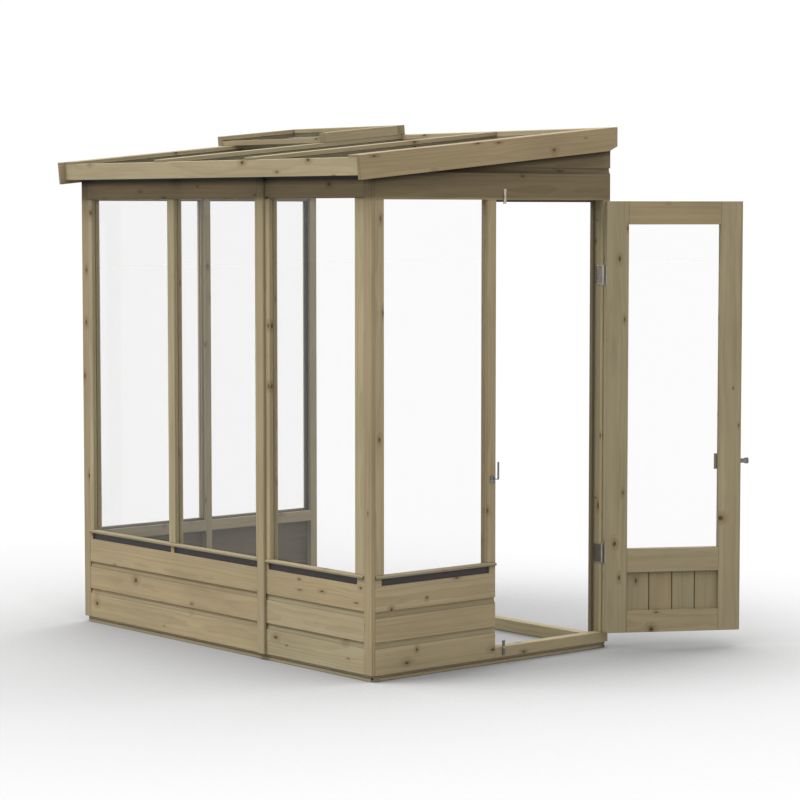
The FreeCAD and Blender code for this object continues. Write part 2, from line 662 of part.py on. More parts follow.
def fascia(front, back):
    """The board along the eaves between the barge boards, its top bevelled to the pitch."""
    end = HALF + PACKER_T
    top = C_SHEET + FASCIA_RISE
    low = roof_z(front, top) - FASCIA_H
    outline = [(-end, front, low), (-end, back, low)]
    outline += [(-end, back, roof_z(back, top)), (-end, front, roof_z(front, top))]
    return prism(outline, X_AXIS * (2 * end))


def barge_board():
    """The right barge board: square-cut at the front, plumb at the back with a clipped corner."""
    x0 = HALF + PACKER_T
    nose = -DEPTH - BARGE_NOSE
    shift = BARGE_H * math.sin(math.radians(PITCH))
    outline = [(x0, nose, roof_z(nose, -BARGE_H)), (x0, -3 * BARGE_CLIP, roof_z(-3 * BARGE_CLIP, -BARGE_H))]
    outline += [(x0, 0, roof_z(0, BARGE_CLIP - BARGE_H)), (x0, 0, roof_z(0))]
    outline += [(x0, nose - shift, roof_z(nose - shift))]
    return prism(outline, X_AXIS * BARGE_T)


def leaf(length, width, barrel_r, face, odd):
    """Half of a butt hinge about the Z axis: a plate running along -X with its knuckles.

    The plate lies between face and face + LEAF_T along Y.
    """
    step = length / KNUCKLES
    plate = box(-width, 0, face, face + LEAF_T, -length / 2, length / 2)
    shape = plate
    for k in range(KNUCKLES):
        start = (0, 0, -length / 2 + k * step)
        if k % 2 == odd:
            gap = KNUCKLE_GAP / 2
            knuckle = rod(barrel_r, (0, 0, start[2] + gap), Z_AXIS, step - 2 * gap)
            shape = shape.fuse(knuckle)
        else:
            shape = shape.cut(rod(barrel_r + KNUCKLE_GAP, start, Z_AXIS, step))
    return shape.cut(rod(PIN_R + PIN_PLAY, (0, 0, -length), Z_AXIS, 2 * length)).removeSplitter()


def pin(length):
    """A hinge pin, flush with the barrel at both ends."""
    return rod(PIN_R, (0, 0, -length / 2), Z_AXIS, length)


def swing(shape):
    """Turn a placed door piece from closed to where the door stands."""
    turned = shape.copy()
    turned.rotate(FreeCAD.Vector(HALF - HINGE_W, -DEPTH + HINGE_U, 0), Z_AXIS, DOOR_OPEN)
    return turned


def on_door(shape):
    """Place a piece drawn in the right wall's layout with the door closed."""
    return swing(on_right(shape))


def stile(u0, u1, inner):
    """A door stile, grooved for the boards and rebated for the pane on its inner edge."""
    z0, z1 = LEAF_Z
    post = box(u0, u1, 0, DOOR_T, z0, z1)
    inside = (inner - GROOVE, inner) if inner == u1 else (inner, inner + GROOVE)
    boards_z = (DOOR_PANEL_Z[0] - GROOVE, DOOR_PANEL_Z[1] + GROOVE)
    groove = box(*inside, BOARD_DEPTH, BOARD_DEPTH + BOARD_T, *boards_z)
    rebate = box(*inside, -1, DOOR_GLASS_DEPTH, DOOR_GLASS_Z[0] - GROOVE, DOOR_GLASS_Z[1] + GROOVE)
    return post.cut(groove).cut(rebate)


def door_boards():
    """Tongued and grooved boards with vee joints, standing in the frame's grooves."""
    z0, z1 = DOOR_PANEL_Z[0] - GROOVE, DOOR_PANEL_Z[1] + GROOVE
    width = (LEAF_CLEAR[1] - LEAF_CLEAR[0]) / BOARD_COUNT
    w0, w1 = BOARD_DEPTH, BOARD_DEPTH + BOARD_T
    mid = (w0 + w1) / 2
    t = TONGUE_T / 2
    boards = []
    for k in range(BOARD_COUNT):
        u0 = LEAF_CLEAR[0] + k * width
        u1 = u0 + width
        first, last = k == 0, k == BOARD_COUNT - 1
        if first:
            outline = [(u0 - GROOVE, w1), (u0 - GROOVE, w0)]
        else:
            deep = TONGUE_W + TONGUE_PLAY
            wide = t + TONGUE_PLAY
            outline = [(u0 + BOARD_VEE, w1), (u0, w1 - BOARD_VEE), (u0, mid + wide)]
            outline += [(u0 + deep, mid + wide), (u0 + deep, mid - wide), (u0, mid - wide)]
            outline += [(u0, w0 + BOARD_VEE), (u0 + BOARD_VEE, w0)]
        if last:
            outline += [(u1 + GROOVE, w0), (u1 + GROOVE, w1)]
        else:
            outline += [(u1 - BOARD_VEE, w0), (u1, w0 + BOARD_VEE), (u1, mid - t)]
            outline += [(u1 + TONGUE_W, mid - t), (u1 + TONGUE_W, mid + t), (u1, mid + t)]
            outline += [(u1, w1 - BOARD_VEE), (u1 - BOARD_VEE, w1)]
        boards.append(along_z(outline, z0, z1))
    return boards


def door_beads():
    """Beads in the outer rebate, in front of the door's pane."""
    u0, u1 = LEAF_CLEAR[0] - GROOVE, LEAF_CLEAR[1] + GROOVE
    z0, z1 = DOOR_GLASS_Z[0] - GROOVE, DOOR_GLASS_Z[1] + GROOVE
    w1 = DOOR_GLASS_DEPTH - PANE_T
    w0 = w1 - BEAD
    found = [box(u0, u1, w0, w1, z0, z0 + BEAD), box(u0, u1, w0, w1, z1 - BEAD, z1)]
    found.append(box(u0, u0 + BEAD, w0, w1, z0 + BEAD, z1 - BEAD))
    found.append(box(u1 - BEAD, u1, w0, w1, z0 + BEAD, z1 - BEAD))
    return found


def door():
    """The framed door with its glass, boards and hinges."""
    a, b = LEAF_CLEAR
    stiles = [stile(LEAF[0], a, a), stile(b, LEAF[1], b)]
    save("door_stiles", [on_door(piece) for piece in stiles])
    top = box(a, b, 0, DOOR_T, DOOR_GLASS_Z[1], LEAF_Z[1])
    mid = box(a, b, 0, DOOR_T, DOOR_PANEL_Z[1], DOOR_GLASS_Z[0])
    low = box(a, b, 0, DOOR_T, LEAF_Z[0], DOOR_PANEL_Z[0])
    opening = box(a, b, -1, DOOR_GLASS_DEPTH, DOOR_GLASS_Z[0] - GROOVE, DOOR_GLASS_Z[1] + GROOVE)
    w = (BOARD_DEPTH, BOARD_DEPTH + BOARD_T)
    groove = box(a, b, *w, DOOR_PANEL_Z[0] - GROOVE, DOOR_PANEL_Z[1] + GROOVE)
    rails = [top.cut(opening), mid.cut(opening).cut(groove), low.cut(groove)]
    save("door_rails", [on_door(piece) for piece in rails])
    save("door_boards", [on_door(piece) for piece in door_boards()])
    grow = GROOVE - PANE_GAP
    glass = (DOOR_GLASS_DEPTH - PANE_T, DOOR_GLASS_DEPTH)
    glazing = box(a - grow, b + grow, *glass, DOOR_GLASS_Z[0] - grow, DOOR_GLASS_Z[1] + grow)
    save("door_pane", [on_door(glazing)])
    save("door_glazing_beads", [on_door(piece) for piece in door_beads()])
    door_hinges()


def door_hinges():
    """Two butt hinges between the back jamb and the door's edge."""
    frame_half, door_half, pins = [], [], []
    half_gap = DOOR_GAP_HINGE / 2
    for z in DOOR_HINGE_Z:
        at = FreeCAD.Vector(HALF - HINGE_W, -DEPTH + HINGE_U, z)
        fixed = leaf(DOOR_LEAF_L, DOOR_LEAF_W, DOOR_BARREL_R, half_gap - LEAF_T, 0)
        moving = leaf(DOOR_LEAF_L, DOOR_LEAF_W, DOOR_BARREL_R, -half_gap, 1)
        frame_half.append(fixed.translated(at))
        door_half.append(swing(moving.translated(at)))
        pins.append(pin(DOOR_LEAF_L).translated(at))
    save("door_hinge_frame_leaves", frame_half)
    save("door_hinge_door_leaves", door_half)
    save("door_hinge_frame_leaves", pins)


def latch():
    """A lift bar on the door's outer face that drops into a keep on the post."""
    edge = LEAF[0]
    pivot = edge + LATCH_PIVOT
    z = LATCH_Z
    bar_back = -PLATE_T - SEAT_GAP
    bar_front = bar_back - LATCH_BAR_T
    across, up = PLATE_W / 2, PLATE_H / 2
    plate = box(pivot - across, pivot + across, -PLATE_T, 0, z - up, z + up)
    rivet = rod(RIVET_R, (pivot, 0, z), -Y_AXIS, -bar_front + SEAT_GAP + 2)
    head = rod(2 * RIVET_R, (pivot, bar_front - SEAT_GAP, z), -Y_AXIS, 2)
    save("latch_plate", [on_door(plate.fuse(rivet).fuse(head).removeSplitter())])
    r = LATCH_BAR_H / 2
    tip = edge - LATCH_REACH
    bar = box(tip + LATCH_TIP_L, pivot, bar_front, bar_back, z - r, z + r)
    bar = bar.fuse(rod(r, (pivot, bar_back, z), -Y_AXIS, LATCH_BAR_T))
    end = box(tip, tip + LATCH_TIP_L, bar_front, bar_back, z - LATCH_TIP_H / 2, z + LATCH_TIP_H / 2)
    at_tip = [e for e in end.Edges if abs(e.BoundBox.XMax - tip) < 0.01]
    corners = [e for e in at_tip if e.BoundBox.YLength > LATCH_BAR_T / 2]
    bar = bar.fuse(end.makeFillet(LATCH_TIP_H / 4, corners))
    bar = bar.cut(rod(RIVET_R + PIN_PLAY, (pivot, 1, z), -Y_AXIS, 30))
    knob = rod(KNOB_R * 0.6, (edge + KNOB_FROM_EDGE, bar_front, z), -Y_AXIS, KNOB_L / 2)
    grip = rod(KNOB_R, (edge + KNOB_FROM_EDGE, bar_front - KNOB_L / 2, z), -Y_AXIS, KNOB_L / 2)
    grip = grip.makeChamfer(1.5, [e for e in grip.Edges if e.Curve.TypeId == "Part::GeomCircle"])
    save("latch_bar", [on_door(bar.fuse(knob).fuse(grip).removeSplitter())])
    save("latch_plate", [on_door(guide(edge + GUIDE_FROM_EDGE, pivot, bar_front))])
    save("latch_keep", [on_right(keep())])


def guide(u0, pivot, bar_front):
    """The staple round the bar, tall enough for its lift, with a foot above and below."""
    lift = math.radians(LATCH_LIFT)
    low = LATCH_Z - LATCH_BAR_H / 2 - SEAT_GAP
    reach = pivot - u0
    high = LATCH_Z + reach * math.tan(lift) + LATCH_BAR_H / 2 / math.cos(lift) + 1
    face = bar_front - 1
    outer = box(u0, u0 + GUIDE_W, face - STRAP_T, 0, low - STRAP_T, high + STRAP_T)
    strap = outer.cut(box(u0 - 1, u0 + GUIDE_W + 1, face, 1, low, high))
    feet = [box(u0, u0 + GUIDE_W, -STRAP_T, 0, low - STRAP_T - GUIDE_W, low - STRAP_T)]
    feet.append(box(u0, u0 + GUIDE_W, -STRAP_T, 0, high + STRAP_T, high + STRAP_T + GUIDE_W))
    return strap.multiFuse(feet).removeSplitter()


def keep():
    """A J-shaped hook: a plate on the post, a strap outwards and a prong standing up."""
    u1 = DOORWAY[0] - KEEP_FROM_EDGE
    u0 = u1 - KEEP_W
    prong = (u1 - PRONG_W, u1)
    plate = box(u0, u1, -STRAP_T, 0, KEEP_LOW - KEEP_PLATE_H / 2, KEEP_LOW + KEEP_PLATE_H / 2)
    strap = box(*prong, -KEEP_REACH, 0, KEEP_LOW, KEEP_LOW + STRAP_T)
    upright = box(*prong, -KEEP_REACH, STRAP_T - KEEP_REACH, KEEP_LOW, KEEP_HIGH - 4)
    middle = (prong[0] + prong[1]) / 2
    top = rod((prong[1] - prong[0]) / 2, (middle, STRAP_T - KEEP_REACH, KEEP_HIGH - 4), -Y_AXIS, STRAP_T)
    return plate.multiFuse([strap, upright, top]).removeSplitter()


def button():
    """A bow-tie plate with a centre hole, standing upright in the wall's plane."""
    end, wide, waist = BUTTON_L / 2, BUTTON_W / 2, BUTTON_WAIST / 2
    w = -BUTTON_STANDOFF
    outline = [(-wide, -end), (wide, -end), (waist, 0), (wide, end), (-wide, end), (-waist, 0)]
    plate = prism([(u, w, z) for u, z in outline], -Y_AXIS * BUTTON_T)
    return plate.cut(rod(SCREW_R + PIN_PLAY, (0, 1, 0), -Y_AXIS, 10))


def screw():
    """The pan-head screw that a button turns on."""
    head_at = -BUTTON_STANDOFF - BUTTON_T - 0.2
    shank = rod(SCREW_R, (0, head_at, 0), Y_AXIS, SCREW_L)
    head = rod(SCREW_HEAD_R, (0, head_at, 0), -Y_AXIS, SCREW_HEAD_T)
    rim = [e for e in head.Edges if abs(e.BoundBox.YMin - (head_at - SCREW_HEAD_T)) < 0.01]
    return shank.fuse(head.makeChamfer(SCREW_HEAD_T / 2, rim[:1]))


def turn_buttons():
    """One button over the door on the head, one under it on the threshold."""
    screws = []
    for name, z in (("head_turn_button", HEAD_BUTTON_Z), ("threshold_turn_button", THRESHOLD_BUTTON_Z)):
        at = FreeCAD.Vector(DOORWAY[0] + BUTTON_FROM_EDGE, 0, z)
        save(name, [on_right(button().translated(at))])
        screws.append(on_right(screw().translated(at)))
    save("turn_button_screws", screws)


def vent_x():
    """Left and right edges of the roof vent."""
    left = -HALF - PACKER_T - BARGE_T - VENT_OVERHANG
    right = BAR_1_X - BAR_W / 2 + VENT_BAR_BEARING
    return left, right


def on_roof(shape):
    """Place a piece drawn flat, y running up the slope from the vent's back edge."""
    placed = shape.copy()
    placed.rotate(FreeCAD.Vector(0, 0, 0), X_AXIS, PITCH)
    placed.translate(FreeCAD.Vector(0, -VENT_BACK, roof_z(-VENT_BACK)))
    return placed


def vent():
    """The hinged roof vent: stiles, rails and a pane that runs over the front rail."""
    x0, x1 = vent_x()
    front = (VENT_BACK - VENT_FRONT) / math.cos(math.radians(PITCH))
    m = VENT_MEMBER
    low, high = SEAT_GAP, SEAT_GAP + VENT_T
    glass = (high - VENT_RAIL_DROP, high - VENT_RAIL_DROP + PANE_T)
    inner = (x0 + m, x1 - m)
    grooves = box(inner[0] - GROOVE, inner[1] + GROOVE, front - 1, GROOVE - m, *glass)
    stiles = [box(x, x + m, front, -m, low, high).cut(grooves) for x in (x0, x1 - m)]
    rails = [box(*inner, front, front + m, low, glass[0])]
    rails.append(box(x0, x1, -m, 0, low, high).cut(grooves))
    save("vent_sash", [on_roof(piece) for piece in stiles + rails])
    grow = GROOVE - PANE_GAP
    save("vent_pane", [on_roof(box(inner[0] - grow, inner[1] + grow, front, grow - m, *glass))])
    vent_hinges((x0 + x1) / 2)
    vent_stay(inner[1], front + m)


def vent_hinges(middle):
    """Two butt hinges between the vent's back edge and the top rail."""
    r = VENT_BARREL_R
    fixed_half, moving_half, pins = [], [], []
    for x in (middle - VENT_HINGE_OFFSET, middle + VENT_HINGE_OFFSET):
        at = FreeCAD.Vector(x, r + VENT_BARREL_PLAY, r + VENT_BARREL_PLAY)
        fixed = leaf(VENT_LEAF_L, VENT_LEAF_W, r, r + VENT_BARREL_PLAY - LEAF_T, 0)
        moving = leaf(VENT_LEAF_L, VENT_LEAF_W, r, -r - VENT_BARREL_PLAY, 1)
        fixed_half += [on_roof(lay(half, 0).translated(at)) for half in (fixed, pin(VENT_LEAF_L))]
        moving_half.append(on_roof(lay(moving, 90).translated(at)))
    save("vent_hinge_fixed_leaves", fixed_half)
    save("vent_hinge_moving_leaves", moving_half)


def lay(shape, turn):
    """Lay a hinge drawn about Z along the X axis, its plate towards +Y and then turned up."""
    laid = shape.copy()
    laid.rotate(FreeCAD.Vector(0, 0, 0), Y_AXIS, 90)
    laid.rotate(FreeCAD.Vector(0, 0, 0), X_AXIS, turn - 90)
    return laid


def vent_stay(stile_x, rail_y):
    """The arm that props the vent, its bracket on the right stile and its peg on the rafter."""
    arm_x = BAR_1_X - BAR_W / 2 - STAY_CLEAR - STAY_T
    y = rail_y + STAY_PIVOT
    z = SEAT_GAP + STAY_W / 2 + 3
    half = STAY_W / 2
    foot = box(stile_x - 2, stile_x, y - STAY_W, y + STAY_W, z - half - 2, z + half + 2)
    pivot = rod(RIVET_R, (stile_x - 1, y, z), -X_AXIS, stile_x - arm_x + 1)
    head = rod(1.6 * RIVET_R, (arm_x - SEAT_GAP, y, z), -X_AXIS, 2)
    collar = rod(1.6 * RIVET_R, (arm_x + STAY_T + SEAT_GAP, y, z), X_AXIS, STAY_CLEAR)
    save("vent_stay_bracket", [on_roof(foot.multiFuse([pivot, head, collar]).removeSplitter())])
    arm = box(arm_x, arm_x + STAY_T, y - half, y - half + STAY_L, z - half, z + half)
    ends = [e for e in arm.Edges if e.BoundBox.XLength > STAY_T / 2]
    arm = arm.makeFillet(half - 0.5, ends)
    arm = arm.cut(rod(RIVET_R + PIN_PLAY, (arm_x - 1, y, z), X_AXIS, 2 * STAY_T))
    for k in range(STAY_HOLES):
        hole_y = y + STAY_L - STAY_W - STAY_HOLE_STEP * k
        arm = arm.cut(rod(STAY_HOLE_R, (arm_x - 1, hole_y, z), X_AXIS, 2 * STAY_T))
    save("vent_stay_arm", [on_roof(arm)])
    rafter_x = BAR_1_X - RAFTER_W / 2
    peg_y = CURB_W + CURB_FROM_VENT - VENT_FRONT + PEG_BEHIND_CURB
    peg_z = roof_z(peg_y, -PEG_DOWN)
    half = PEG_PLATE / 2
    plate = box(rafter_x - 2, rafter_x, peg_y - half, peg_y + half, peg_z - half, peg_z + half)
    peg = rod(PEG_R, (rafter_x - 1, peg_y, peg_z), -X_AXIS, rafter_x - arm_x - STAY_T - 2)
    save("vent_stay_peg", [plate.fuse(peg).removeSplitter()])


def main():
    """Build every sub-part."""
    base()
    front_wall()
    right_wall()
    left_wall()
    roof()
    vent()
    door()
    latch()
    turn_buttons()
    write_files()


main()
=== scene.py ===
"""Lean-to greenhouse in pressure-treated softwood: finishes, screws, floor, light and camera.

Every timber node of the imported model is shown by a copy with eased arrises, made board by board.
The copy carries its own grain coordinates, so growth rings run along each board and show as
arcs on its end grain. The leaves of the door's hinges are shown by copies with a rolled rim.
Panes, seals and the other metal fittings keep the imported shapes.
"""

import json
import logging
import math
import random
from dataclasses import dataclass, field
from enum import Enum

import bmesh
import bpy
from mathutils import Euler, Matrix, Vector


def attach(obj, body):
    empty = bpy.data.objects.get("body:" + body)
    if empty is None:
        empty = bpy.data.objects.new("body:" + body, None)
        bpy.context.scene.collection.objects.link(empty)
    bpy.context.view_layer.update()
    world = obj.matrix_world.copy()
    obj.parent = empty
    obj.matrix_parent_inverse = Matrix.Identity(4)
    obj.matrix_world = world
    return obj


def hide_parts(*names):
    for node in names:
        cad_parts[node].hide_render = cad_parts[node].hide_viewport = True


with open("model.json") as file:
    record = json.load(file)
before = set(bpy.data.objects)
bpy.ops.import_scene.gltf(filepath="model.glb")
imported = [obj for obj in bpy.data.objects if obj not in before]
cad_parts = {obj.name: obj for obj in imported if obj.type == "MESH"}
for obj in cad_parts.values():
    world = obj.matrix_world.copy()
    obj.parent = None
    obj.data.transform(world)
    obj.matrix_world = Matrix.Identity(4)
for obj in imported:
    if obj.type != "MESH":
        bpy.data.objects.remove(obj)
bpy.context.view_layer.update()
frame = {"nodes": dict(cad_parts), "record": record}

MM = 0.001
GRID = 0.001 * MM  # corners are told apart on a grid this fine
MERGE = 0.005 * MM  # corners that are closer become one
FLAT = math.radians(1)  # faces that meet at a smaller angle become one
log = logging.getLogger("greenhouse")

Socket = bpy.types.NodeSocket
Tree = bpy.types.NodeTree
Stretch = tuple[float, float, float]  # noise: features a metre along a board, across it, octaves


class Slot(Enum):
    """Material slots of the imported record."""

    TIMBER = "timber"
    GLAZING = "glazing"
    STRIP = "drip_strip"
    ZINC = "zinc"


def linear(colour: str) -> tuple[float, float, float, float]:
    """Turn an sRGB hex colour to linear RGBA, by the curve of the sRGB standard.

    Args:
        colour: six hex digits after a hash.

    Returns:
        Linear red, green and blue, with an alpha of 1.
    """
    parts = [int(colour[i : i + 2], 16) / 255 for i in (1, 3, 5)]
    r, g, b = (c / 12.92 if c <= 0.04045 else ((c + 0.055) / 1.055) ** 2.4 for c in parts)
    return (r, g, b, 1.0)


def add(
    tree: Tree, kind: str, inputs: dict, out: int | str = 0, stops: tuple = (), **settings: object
) -> Socket | bpy.types.Node:
    """Add a shader node with its settings and links.

    Args:
        tree: the material's or world's node tree.
        kind: the node's type, without the words ShaderNode.
        inputs: input name or index to a value, or to an output socket that feeds it.
        out: name or index of the output that is returned.
        stops: for a colour ramp, pairs of a position and a colour or grey level.
        **settings: properties of the node.

    Returns:
        One of the node's outputs, or the node itself where it has none.
    """
    node = tree.nodes.new(f"ShaderNode{kind}")
    for name, value in settings.items():
        setattr(node, name, value)
    for _ in range(len(stops) - 2):  # a new ramp has two
        node.color_ramp.elements.new(0.5)
    for k, (position, colour) in enumerate(stops):
        element = node.color_ramp.elements[k]
        element.position = position
        element.color = colour if isinstance(colour, tuple) else (colour, colour, colour, 1.0)
    for key, value in inputs.items():
        if isinstance(value, bpy.types.NodeSocket):
            tree.links.new(value, node.inputs[key])
        else:
            node.inputs[key].default_value = value
    return node.outputs[out] if len(node.outputs) else node


def empty_material(name: str) -> tuple[bpy.types.Material, Tree]:
    """Make a node material with nothing in it.

    Args:
        name: what the real material is called.

    Returns:
        The material and its node tree.
    """
    material = bpy.data.materials.new(name)
    material.use_nodes = True
    material.node_tree.nodes.clear()
    return material, material.node_tree


@dataclass(frozen=True)
class TreatedSoftwood:
    """Pressure-treated redwood, planed smooth.

    The copper salts turn it khaki. Earlywood is pale and latewood a little darker, the knots are
    brown, and there is next to no gloss: broad soft highlights only.
    """

    pale: str = "#A69878"
    dark: str = "#88795B"
    wood_stops: tuple[float, float] = (0.33, 0.73)  # pale up to one level, dark from the other
    shares: tuple[float, float, float] = (0.4, 0.45, 0.45)  # of fibres, streaks and rings in it
    fibre: Stretch = (6.0, 1 / (2.5 * MM), 4.0)  # 2.5 mm wide: real fibres are too fine to show
    streak: Stretch = (1.3, 1 / (9.0 * MM), 2.0)  # 9 mm wide
    ring_mm: float = 8.0  # real rings are 2 to 4 mm, too fine to show here
    ring: tuple = ((0.0, 0.05), (0.4, 0.15), (0.84, 0.9), (0.94, 0.8), (1.0, 0.05))  # dark latewood
    ring_depth: Stretch = (2.0, 11.0, 1.0)
    wobble: Stretch = (7.0, 26.0, 2.0)
    wobble_rings: float = 0.8
    bulge_rings: float = 1.7  # that flow round a knot
    sway: Stretch = (1.3, 4.0, 2.0)
    sway_mm: float = 26.0
    warm: str = "#A0875F"
    green: str = "#969276"
    tone_share: float = 0.45
    patch: Stretch = (2.2, 9.0, 3.0)
    patch_level: tuple[float, float] = (0.44, 0.76)  # their span of light, and the least
    knot: str = "#4B331C"
    knot_rim: str = "#725A38"
    rim_share: float = 0.5
    knot_cell_mm: float = 150.0
    knot_share: float = 0.56  # this share of the cells holds a knot
    knot_mm: tuple[float, float] = (3.4, 7.5)  # the least radius, and what chance adds to it
    knot_squeeze: float = 0.72  # below one, so that knots are longer along the board
    knot_edge: float = 0.3
    ragged: Stretch = (160.0, 160.0, 2.0)
    ragged_depth: float = 0.9
    halo_squeeze: float = 0.34  # so that a halo is three times as wide as its knot
    halo_edge: float = 0.28
    eaves_mm: tuple[float, float] = (1774.0, 1792.0)  # painted shade under the eaves deepens between these heights
    eaves_shade: float = 0.5
    roof_top_mm: float = 2066.7  # the roof's top at the house wall
    roof_rise: float = 0.097
    corner_mm: tuple[float, float] = (92.0, 114.0)  # below the roof's top: a deeper painted shade just under its edge
    corner_shade: float = 0.04
    eaves_shade_tint: str = "#FFF2DC"  # warm tint of the painted shade under the eaves
    roughness: tuple = ((0.3, 0.68), (0.7, 0.86))  # at two levels of the fibres
    bump_mm: float = 0.35
    bump_strength: float = 0.3
    gloss: float = 0.35

    def build(self) -> bpy.types.Material:
        """Make the material.

        Returns:
            A material that reads the attributes grain, tone, shade (painted shade) and
            eaves_shaded.
        """
        material, tree = empty_material("treated_softwood")
        grain = add(tree, "Attribute", {}, "Vector", attribute_name="grain")
        tone = add(tree, "Attribute", {}, "Fac", attribute_name="tone")
        shade = add(tree, "Attribute", {}, "Fac", attribute_name="shade")
        radius = self.heart_distance(tree, grain)
        knot, halo = self.knots(tree, grain, radius)
        fibre = self.stretched_noise(tree, grain, self.fibre)
        colour = self.rings(tree, grain, radius, halo, fibre)
        colour = self.board_tone(tree, colour, grain, tone)
        rim = add(tree, "Math", {0: halo, 1: self.rim_share}, operation="MULTIPLY")
        rimmed = {0: rim, 6: colour, 7: linear(self.knot_rim)}
        colour = add(tree, "Mix", rimmed, 2, data_type="RGBA")
        knotty = {0: knot, 6: colour, 7: linear(self.knot)}
        colour = add(tree, "Mix", knotty, 2, data_type="RGBA")
        # painted shade under the eaves: a warm tint and a lower level
        eaves_level = self.painted_eaves_shade(tree)
        tint = {0: eaves_level, 6: linear(self.eaves_shade_tint), 7: linear("#FFFFFF")}
        tint = add(tree, "Mix", tint, 2, data_type="RGBA")
        colour = add(tree, "VectorMath", {0: colour, 1: tint}, operation="MULTIPLY")
        # painted shade: each face's own level times that of the eaves
        shade = add(tree, "Math", {0: shade, 1: eaves_level}, operation="MULTIPLY")
        colour = add(tree, "VectorMath", {0: colour, "Scale": shade}, operation="SCALE")
        rough = add(tree, "ValToRGB", {0: fibre}, stops=self.roughness)
        relief = {"Strength": self.bump_strength, "Distance": self.bump_mm * MM}
        bump = add(tree, "Bump", {"Height": fibre} | relief)
        surface = {"Base Color": colour, "Roughness": rough, "Normal": bump}
        shader = add(tree, "BsdfPrincipled", surface | {"Specular IOR Level": self.gloss})
        add(tree, "OutputMaterial", {"Surface": shader})
        return material

    def painted_eaves_shade(self, tree: Tree) -> Socket:
        """Painted shade on the wall boards close under the roof, deepest just under its edge.

        Args:
            tree: the node tree.

        Returns:
            One in the open, and less where the walls take the painted eaves shade.
        """
        place = add(tree, "SeparateXYZ", {0: add(tree, "TexCoord", {}, "Object")}, "Z")
        low, high = (z * MM for z in self.eaves_mm)
        span = {"From Min": low, "From Max": high, "To Min": 1.0, "To Max": self.eaves_shade}
        level = add(tree, "MapRange", {"Value": place} | span)
        roof = {0: place.node.outputs["Y"], 1: self.roof_rise, 2: self.roof_top_mm * MM}
        roof = add(tree, "Math", roof, operation="MULTIPLY_ADD")
        depth = add(tree, "Math", {0: roof, 1: place}, operation="SUBTRACT")
        low, high = (z * MM for z in self.corner_mm)
        span = {"From Min": low, "From Max": high, "To Min": self.corner_shade, "To Max": 1.0}
        corner = add(tree, "MapRange", {"Value": depth} | span)
        level = add(tree, "Math", {0: level, 1: corner}, operation="MULTIPLY")
        eaves_shaded = add(tree, "Attribute", {}, "Fac", attribute_name="eaves_shaded")
        return add(tree, "Mix", {0: eaves_shaded, 2: 1.0, 3: level})

    def stretched_noise(self, tree: Tree, grain: Socket, stretch: Stretch) -> Socket:
        """Noise that is drawn out along the board.

        Args:
            tree: the node tree.
            grain: the grain coordinates, in metres.
            stretch: features a metre along the board and across it, and octaves.

        Returns:
            The noise's value.
        """
        along, across, octaves = stretch
        size = (along, across, across)
        scaled = add(tree, "VectorMath", {0: grain, 1: size}, operation="MULTIPLY")
        return add(tree, "TexNoise", {"Vector": scaled, "Scale": 1.0, "Detail": octaves}, "Fac")

    def heart_distance(self, tree: Tree, grain: Socket) -> Socket:
        """Distance from the tree's heart, which wanders a little along the board.

        Args:
            tree: the node tree.
            grain: the grain coordinates.

        Returns:
            The distance in metres.
        """
        sway = self.stretched_noise(tree, grain, self.sway)
        reach = {1: self.sway_mm * MM, 2: -self.sway_mm * MM / 2}
        shift = add(tree, "Math", {0: sway} | reach, operation="MULTIPLY_ADD")
        moved = add(tree, "CombineXYZ", {"X": 0.0, "Y": shift, "Z": shift})
        placed = add(tree, "VectorMath", {0: grain, 1: moved}, operation="ADD")
        flat = add(tree, "VectorMath", {0: placed, 1: (0.0, 1.0, 1.0)}, operation="MULTIPLY")
        return add(tree, "VectorMath", {0: flat}, "Value", operation="LENGTH")

    def knots(self, tree: Tree, grain: Socket, radius: Socket) -> tuple[Socket, Socket]:
        """Knots, the roots of branches, which run outwards from the heart.

        Args:
            tree: the node tree.
            grain: the grain coordinates.
            radius: distance from the heart.

        Returns:
            A mask of the knots, and one of the wider halo where the grain flows round them.
        """
        split = add(tree, "SeparateXYZ", {0: grain}, "X").node.outputs
        angle = add(tree, "Math", {0: split["Z"], 1: split["Y"]}, operation="ARCTAN2")
        arc = add(tree, "Math", {0: angle, 1: radius}, operation="MULTIPLY")
        along = add(tree, "Math", {0: split["X"], 1: self.knot_squeeze}, operation="MULTIPLY")
        spot = add(tree, "CombineXYZ", {"X": along, "Y": arc, "Z": 0.0})
        cells = {"Vector": spot, "Scale": 1 / (self.knot_cell_mm * MM)}
        cell = add(tree, "TexVoronoi", cells, "Distance", voronoi_dimensions="2D")
        chance = add(tree, "SeparateXYZ", {0: cell.node.outputs["Color"]}, "X").node.outputs
        bare = {0: chance["X"], 1: 1 - self.knot_share}
        here = add(tree, "Math", bare, operation="GREATER_THAN")
        small, more = (v / self.knot_cell_mm for v in self.knot_mm)
        size = add(tree, "Math", {0: chance["Y"], 1: more, 2: small}, operation="MULTIPLY_ADD")
        away = add(tree, "Math", {0: cell, 1: size}, operation="DIVIDE")
        ragged = {0: self.stretched_noise(tree, grain, self.ragged), 1: self.ragged_depth}
        away = add(tree, "Math", ragged | {2: away}, operation="MULTIPLY_ADD")
        away = add(tree, "Math", {0: away, 1: self.ragged_depth / 2}, operation="SUBTRACT")
        core = add(tree, "ValToRGB", {0: away}, stops=((self.knot_edge, 1.0), (1.0, 0.0)))
        wide = add(tree, "Math", {0: away, 1: self.halo_squeeze}, operation="MULTIPLY")
        around = add(tree, "ValToRGB", {0: wide}, stops=((self.halo_edge, 1.0), (1.0, 0.0)))
        knot = add(tree, "Math", {0: core, 1: here}, operation="MULTIPLY")
        return knot, add(tree, "Math", {0: around, 1: here}, operation="MULTIPLY")

